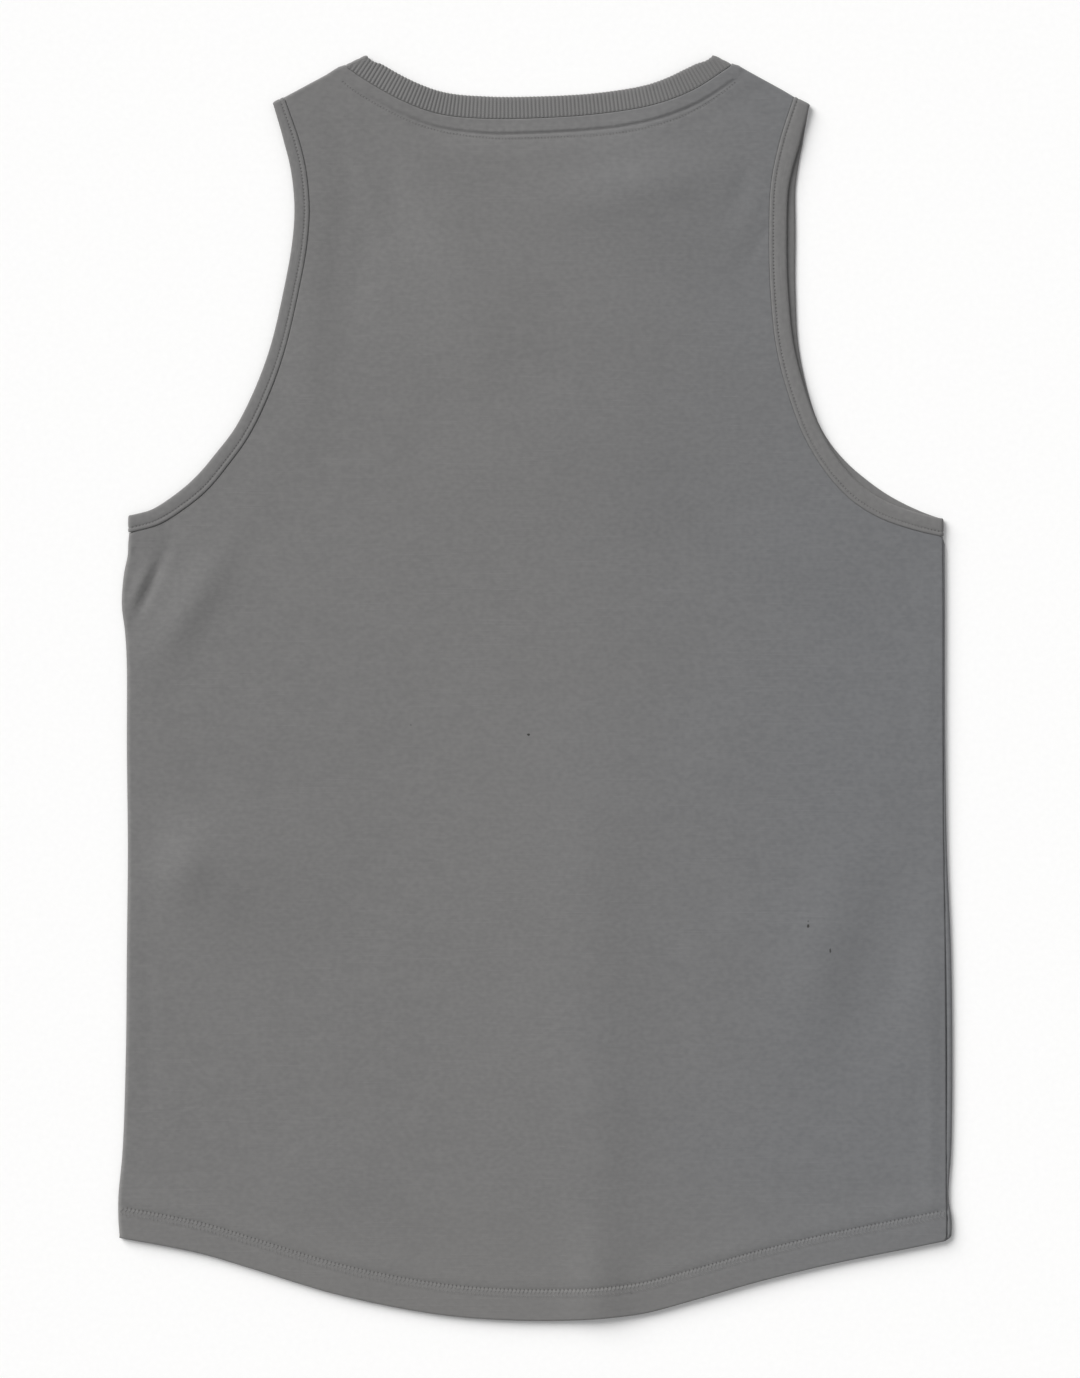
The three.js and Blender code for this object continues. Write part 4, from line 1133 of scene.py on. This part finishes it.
bandProfile = table(  # the outer face from the seam to the free edge, height from the band's middle
    "fromSeam share height",
    (0.00005, 0, 0.00048),
    (0.00012, 0, 0.00060),
    (0.00035, 0, 0.00080),
    (0.00080, 0, 0.00093),
    (0.00140, 0, 0.00098),
    (0.00200, 0, 0.00093),
    (0.00245, 0, 0.00080),
    (0.00275, 0, 0.00070),
    (0.00305, 0, 0.00080),
    (0.00360, 0, 0.00094),
    (0, 0.5, 0.00100),
    (0, 0.65, 0.00099),
    (-0.00190, 1, 0.00094),
    (-0.00120, 1, 0.00085),
    (-0.00070, 1, 0.00070),
    (-0.00035, 1, 0.00050),
    (-0.00010, 1, 0.00022),
    (0, 1, 0),
)
ribProfile = table(
    "fromSeam share height",
    (0.00005, 0, 0.00030),
    (0.00015, 0, 0.00058),
    (0.00050, 0, 0.00086),
    (0.00100, 0, 0.00096),
    (0.00170, 0, 0.00100),
    (0, 0.18, 0.00100),
    (0, 0.24, 0.00100),
    (0, 0.30, 0.00100),
    (0, 0.36, 0.00100),
    (0, 0.42, 0.00100),
    (0, 0.48, 0.00100),
    (0, 0.54, 0.00100),
    (0, 0.60, 0.00100),
    (0, 0.66, 0.00100),
    (0, 0.72, 0.00100),
    (0, 0.78, 0.00100),
    (-0.00230, 1, 0.00098),
    (-0.00175, 1, 0.00094),
    (-0.00120, 1, 0.00086),
    (-0.00070, 1, 0.00070),
    (-0.00032, 1, 0.00048),
    (-0.00008, 1, 0.00022),
    (0, 1, 0),
)
band = {
    "spacing": 0.0012,
    "slit": 0.00004,  # half the air between the two layers
    "turnShare": 0.022,  # the bands' direction turns to that of a fold within this run
    "turnSteps": 10,
    "row": 0.00275,  # the stitches' distance from the seam
    "pitch": 0.0022,
    "stitch": 0.0017,  # length of one stitch
    "tipRun": 0.005,  # the free edge reaches further within this run of a fold
}


def closedProfile(rows):  # outer face, inner face and the slit between the two layers
    backward = slice(-2, None, -1)
    sparse = np.flatnonzero(rows["share"] % 1 > 0)[1::2]  # the inner face needs fewer rows
    inner = {key: np.delete(values, sparse)[backward] for key, values in rows.items()}
    fromSeam = [*rows["fromSeam"], *inner["fromSeam"], 0.00005, -0.0010, -0.0010, 0.00005]
    share = [*rows["share"], *inner["share"], 0, 1, 1, 0]
    slit = band["slit"]
    height = [*rows["height"], *-inner["height"], -slit, -slit, slit, slit]
    return np.array(fromSeam), np.array(share), np.array(height)


def bandSections(seam, frontSeam, startFold, endFold, spacing, middleAt, tipReach=0.0):
    # round the ring: the back's arc, over the fold at its end, the front's arc, over the first fold
    def arc(ofSeam, height, outside):
        runs = np.linspace(0, ofSeam.length, int(np.ceil(ofSeam.length / spacing)) + 1)
        place, toEdge, width = ofSeam.at(runs)
        for fold, away in ((startFold, runs), (endFold, ofSeam.length - runs)):
            part = ease(away, band["turnShare"])[:, None]
            toEdge = blend(toEdge, np.array(folds[fold]["toEdge"]), part)
        toEdge /= np.hypot(*toEdge.T)[:, None]
        ends = np.minimum(runs, ofSeam.length - runs)
        width = width + tipReach * ease(ends, band["tipRun"])
        across = place[:, 0]
        return {
            "fromFold": ends,
            "base": np.column_stack([place, height(across)]),
            "toEdge": np.column_stack([toEdge, np.zeros(len(runs))]),
            "outside": np.tile([0.0, 0.0, outside], (len(runs), 1)),
            "width": width,
            "part": np.full(len(runs), 0 if outside > 0 else 2),
        }

    def turn(fold, place, width, fromAngle):
        angles = fromAngle + np.linspace(0, np.pi, band["turnSteps"] + 2)[1:-1]
        outward = np.array(folds[fold]["outward"])
        side = np.abs(np.sin(angles))[:, None] * garment["foldRadius"]
        rise = garment["foldMiddle"] + np.cos(angles) * garment["foldRadius"]
        facing = np.column_stack([np.abs(np.sin(angles))[:, None] * outward, np.cos(angles)])
        return {
            "fromFold": np.zeros(len(angles)),
            "base": np.column_stack([place[:2] + side * outward, rise]),
            "toEdge": np.tile([*folds[fold]["toEdge"], 0.0], (len(angles), 1)),
            "outside": facing,
            "width": np.full(len(angles), width + tipReach),
            "part": np.full(len(angles), 1 if fromAngle == 0 else 3),
        }

    back = arc(seam, middleAt, 1.0)
    front = arc(frontSeam, lambda across: np.full(len(across), garment["doubled"] / 2), -1.0)
    front = {key: values[::-1] for key, values in front.items()}
    over = turn(endFold, seam.line[-1], seam.widths[-1], 0)
    under = turn(startFold, seam.line[0], seam.widths[0], np.pi)
    return {key: np.concatenate([part[key] for part in (back, over, front, under)]) for key in back}


def bandMesh(name, sections, rows, columns):
    fromSeam, share, height = closedProfile(rows)
    around, count = len(fromSeam), len(sections["base"])
    aside = fromSeam + share * sections["width"][:, None]
    points = (
        sections["base"][:, None]
        + sections["toEdge"][:, None] * aside[..., None]
        + sections["outside"][:, None] * height[:, None]
    )
    steps = np.linalg.norm(np.diff(sections["base"], axis=0, append=sections["base"][:1]), axis=1)
    run = np.append(0, np.cumsum(steps))
    profileSteps = np.hypot(np.diff(fromSeam + share * 0.01), np.diff(height))
    across = np.append(0, np.cumsum(profileSteps))
    across = np.append(across, across[-1] + 0.0003)
    here, up = np.meshgrid(np.arange(count), np.arange(around), indexing="ij")
    after, above = (here + 1) % count, (up + 1) % around
    near, far = here * around, after * around
    faces = np.stack([near + up, near + above, far + above, far + up], -1)
    corners = np.stack(
        [
            np.stack([run[here], across[up]], -1),
            np.stack([run[here], across[up + 1]], -1),
            np.stack([run[here + 1], across[up + 1]], -1),
            np.stack([run[here + 1], across[up]], -1),
        ],
        2,
    )
    flat = points.reshape(-1, 3)
    quads = faces.reshape(-1, 4)
    a, b, c, d = (flat[quads[:, k]] for k in range(4))
    volume = np.einsum("ij,ij->i", a, np.cross(b, c) + np.cross(c, d)).sum()
    if volume < 0:
        quads, corners = quads[:, ::-1], corners[:, :, ::-1]
    flat[:, :2] -= garment["middle"]
    mesh = meshFrom(name, flat, quads)
    mesh.uv_layers.new(name="along").data.foreach_set("uv", corners.reshape(-1).astype(np.float32))
    for column, values in columns(run, sections, aside, height).items():
        addColumn(mesh, column, np.broadcast_to(values, (count, around)).reshape(-1))
    return mesh, run[-1]


def armholeColumns(run, sections, aside, height):
    onArc = (sections["part"] % 2 == 0)[:, None] & (height > 0.0004)
    return {
        "stitchRun": run[:-1, None] / band["pitch"],
        "stitchAway": np.where(onArc, aside - band["row"], 0.01),
    }


def ribColumns(run, sections, aside, height):
    # the ribs stand square on the seam, and go over the folds at a slant
    part, beyond = sections["part"], 0.03
    places = sections["base"][:, None, :2] + sections["toEdge"][:, None, :2] * aside[..., None]
    shift = np.zeros(aside.shape)
    for number, seam, direction in ((0, backNeck, 1), (2, frontNeck, -1)):
        first, last = seam.line[0] - seam.line[1], seam.line[-1] - seam.line[-2]
        ends = [end / np.hypot(*end) * beyond for end in (first, last)]
        line = np.vstack([seam.line[0] + ends[0], seam.line, seam.line[-1] + ends[1]])
        on = part == number
        foot = awayFrom(line, places[on].reshape(-1, 2))[1].reshape(-1, aside.shape[1])
        base = awayFrom(line, sections["base"][on, :2])[1]
        shift[on] = (foot - base[:, None]) * direction
    for number in (1, 3):  # over a fold, from what it is on one side to what it is on the other
        on = np.flatnonzero(part == number)
        before, after = shift[on[0] - 1], shift[(on[-1] + 1) % len(part)]
        share = np.arange(1, len(on) + 1)[:, None] / (len(on) + 1)
        shift[on] = before + (after - before) * share
    ribs = round(run[-1] / neckbandSizes["ribPitch"])
    inSlit = (np.abs(height) < band["slit"] * 1.5) & (aside < 0.0125)
    weight = smooth(aside, 0.0, 0.0006) * ~inSlit
    onCloth = blend(neckbandSizes["foldRibs"], 1, smooth(sections["fromFold"], 0, 0.004))
    weight = weight * onCloth[:, None]
    return {"ribPhase": (run[:-1, None] + shift) / run[-1] * ribs, "ribWeight": weight}


def level(middle):
    return lambda across: np.full(len(across), middle)


armholeMiddle = level(garment["upperBand"] + garment["doubled"] / 2)
armholeKnit = jersey("bindingJersey", True, rows=(("stitchRun", "stitchAway", 0.0007),))
leftFolds, rightFolds = ("leftUnderarm", "leftShoulder"), ("rightUnderarm", "rightShoulder")
leftSections = bandSections(
    leftArmhole, frontLeftArmhole, *leftFolds, band["spacing"], armholeMiddle
)
rightSections = bandSections(
    rightArmhole, frontRightArmhole, *rightFolds, band["spacing"], armholeMiddle
)
neckSections = bandSections(
    backNeck,
    frontNeck,
    "leftNeck",
    "rightNeck",
    neckbandSizes["ribPitch"] / 6,
    lambda across: neckUnderside(across) + garment["doubled"] / 2,
    neckbandSizes["tipReach"],
)
leftMesh, leftLoop = bandMesh("leftArmholeBinding", leftSections, bandProfile, armholeColumns)
rightMesh, rightLoop = bandMesh("rightArmholeBinding", rightSections, bandProfile, armholeColumns)
neckMesh, neckLoop = bandMesh("neckbandRib", neckSections, ribProfile, ribColumns)
leftBinding = newPiece("leftArmholeBinding", leftMesh, armholeKnit)
rightBinding = newPiece("rightArmholeBinding", rightMesh, armholeKnit)
ribMaterial = ribKnit("neckRib")
neckbandRib = newPiece("neckbandRib", neckMesh, ribMaterial)
ribValues = {"depth": neckbandSizes["ribDepth"], "sharpness": 0.7, "material": ribMaterial}
runTree(neckbandRib, ribTree(), ribValues)
print("bands:", [len(piece.data.polygons) for piece in (leftBinding, rightBinding, neckbandRib)])

# Stitching

thread = threadFinish("sewingThread")


def alongPanel(path, surface, side):  # a row of stitches on a panel, at its height there
    levels = surface(path)["high" if side > 0 else "low"]
    return np.column_stack([path, levels])


def rowOf(path, pitch, length, slant, side, size=0.00026, arch=0.00016):
    count = round(np.hypot(*np.diff(path[:, :2], axis=0).T).sum() / pitch) + 1
    return {
        "path": path, "count": count, "length": length, "slant": slant,
        "side": float(side), "thread": size, "arch": arch,
    }


def bindingRow(seam, side):  # on the outer face of an armhole band
    runs = np.linspace(0.003, seam.length - 0.003, 300)
    place, toEdge, _ = seam.at(runs)
    middle = garment["upperBand"] if side > 0 else 0
    height = middle + garment["doubled"] / 2 + side * 0.00072
    return np.column_stack([place + toEdge * band["row"], np.full(len(runs), height)])


def hemStitchRows(edges, surface, side):  # the two slanted rows that catch the turned-up hem
    rows = []
    slant = hemStitches["slant"]
    for part, lean in ((0.28, slant), (0.74, -slant)):
        path = evenly(hemRow(edges, hemStitches["fromHem"] - hemStitches["band"] * part), 0.004)
        path = alongPanel(path, surface, side)
        sizes = [hemStitches[key] for key in ("thread", "arch")]
        rows.append(rowOf(path, hemStitches["pitch"], hemStitches["length"], lean, side, *sizes))
    return rows


backNeckPath = alongPanel(backNeckRow[6:-6], backSurface, 1)
frontNeckPath = alongPanel(frontNeckRow[3:-3], frontSurface, -1)
neckStitches = sewRow(
    "neckSeamStitches",
    [
        rowOf(backNeckPath, neckStitchPitch, neckStitchLength, 0.0, 1),
        rowOf(frontNeckPath, neckStitchPitch, neckStitchLength, 0.0, -1),
    ],
    thread,
)
leftStitches = sewRow(
    "leftArmholeStitches",
    [
        rowOf(bindingRow(leftArmhole, 1), band["pitch"], band["stitch"], 0.0, 1),
        rowOf(bindingRow(frontLeftArmhole, -1), band["pitch"], band["stitch"], 0.0, -1),
    ],
    thread,
)
rightStitches = sewRow(
    "rightArmholeStitches",
    [
        rowOf(bindingRow(rightArmhole, 1), band["pitch"], band["stitch"], 0.0, 1),
        rowOf(bindingRow(frontRightArmhole, -1), band["pitch"], band["stitch"], 0.0, -1),
    ],
    thread,
)
backHem = sewRow("backHemStitches", hemStitchRows(backEdges, backSurface, 1), thread)
frontHem = sewRow("frontHemStitches", hemStitchRows(frontEdges, frontSurface, -1), thread)
sewing = (neckStitches, leftStitches, rightStitches, backHem, frontHem)
print("stitches:", [len(piece.data.polygons) for piece in sewing])

# What each piece stands for

replaced = {
    "back_panel": backPanel,
    "front_panel": frontPanel,
    "neckband": neckbandRib,
    "left_armhole_band": leftBinding,
    "right_armhole_band": rightBinding,
}
for node, piece in replaced.items():
    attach(piece, "root")
    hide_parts(node)
for piece in sewing:
    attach(piece, "root")


# Floor, light and camera


def floorFinish():
    fabric = Fabric("paleFloor")
    grain = fabric.noise(300, 300, 3.0)
    colour = fabric.mix((0.90, 0.90, 0.90, 1), (0.94, 0.94, 0.94, 1), grain)
    return fabric.finish(colour, grain * 0.00001, grain * 0.1 + 0.8)


floorHalf = 12.0
floorMesh = meshFrom(
    "floor",
    np.array([(-1, -1, 0), (1, -1, 0), (1, 1, 0), (-1, 1, 0)]) * floorHalf,
    np.array([[0, 1, 2, 3]]),
)
floor = newPiece("floor", floorMesh, floorFinish())

world = bpy.data.worlds.new("studio")
world.use_nodes = True
world.node_tree.nodes["Background"].inputs["Color"].default_value = (1.0, 1.0, 1.0, 1)
world.node_tree.nodes["Background"].inputs["Strength"].default_value = 0.352
bpy.context.scene.world = world
bpy.context.scene.view_settings.view_transform = "Standard"


def softLight(name, place, strength, spread, colour):  # a wide light far off, towards the garment
    data = bpy.data.lights.new(name, "SUN")
    data.energy, data.angle, data.color = strength, spread, colour
    light = bpy.data.objects.new(name, data)
    light.location = place
    light.rotation_euler = (-Vector(place)).to_track_quat("-Z", "Y").to_euler()
    bpy.context.scene.collection.objects.link(light)


softLight("key", (-3.6, 3.3, 2.9), 3.98, 0.75, (1.0, 0.995, 0.985))
softLight("fill", (3.5, -1.5, 4.5), 0.30, 1.2, (0.97, 0.98, 1.0))

lensing = {"distance": 2.4, "sensor": 36.0, "height": 0.8475, "aim": (0.00298, 0.00025)}
cameraData = bpy.data.cameras.new("camera")
cameraData.sensor_width = lensing["sensor"]
cameraData.lens = lensing["sensor"] * lensing["distance"] / lensing["height"]
camera = bpy.data.objects.new("camera", cameraData)
camera.location = (*lensing["aim"], lensing["distance"] + 0.002)
bpy.context.scene.collection.objects.link(camera)
bpy.context.scene.camera = camera
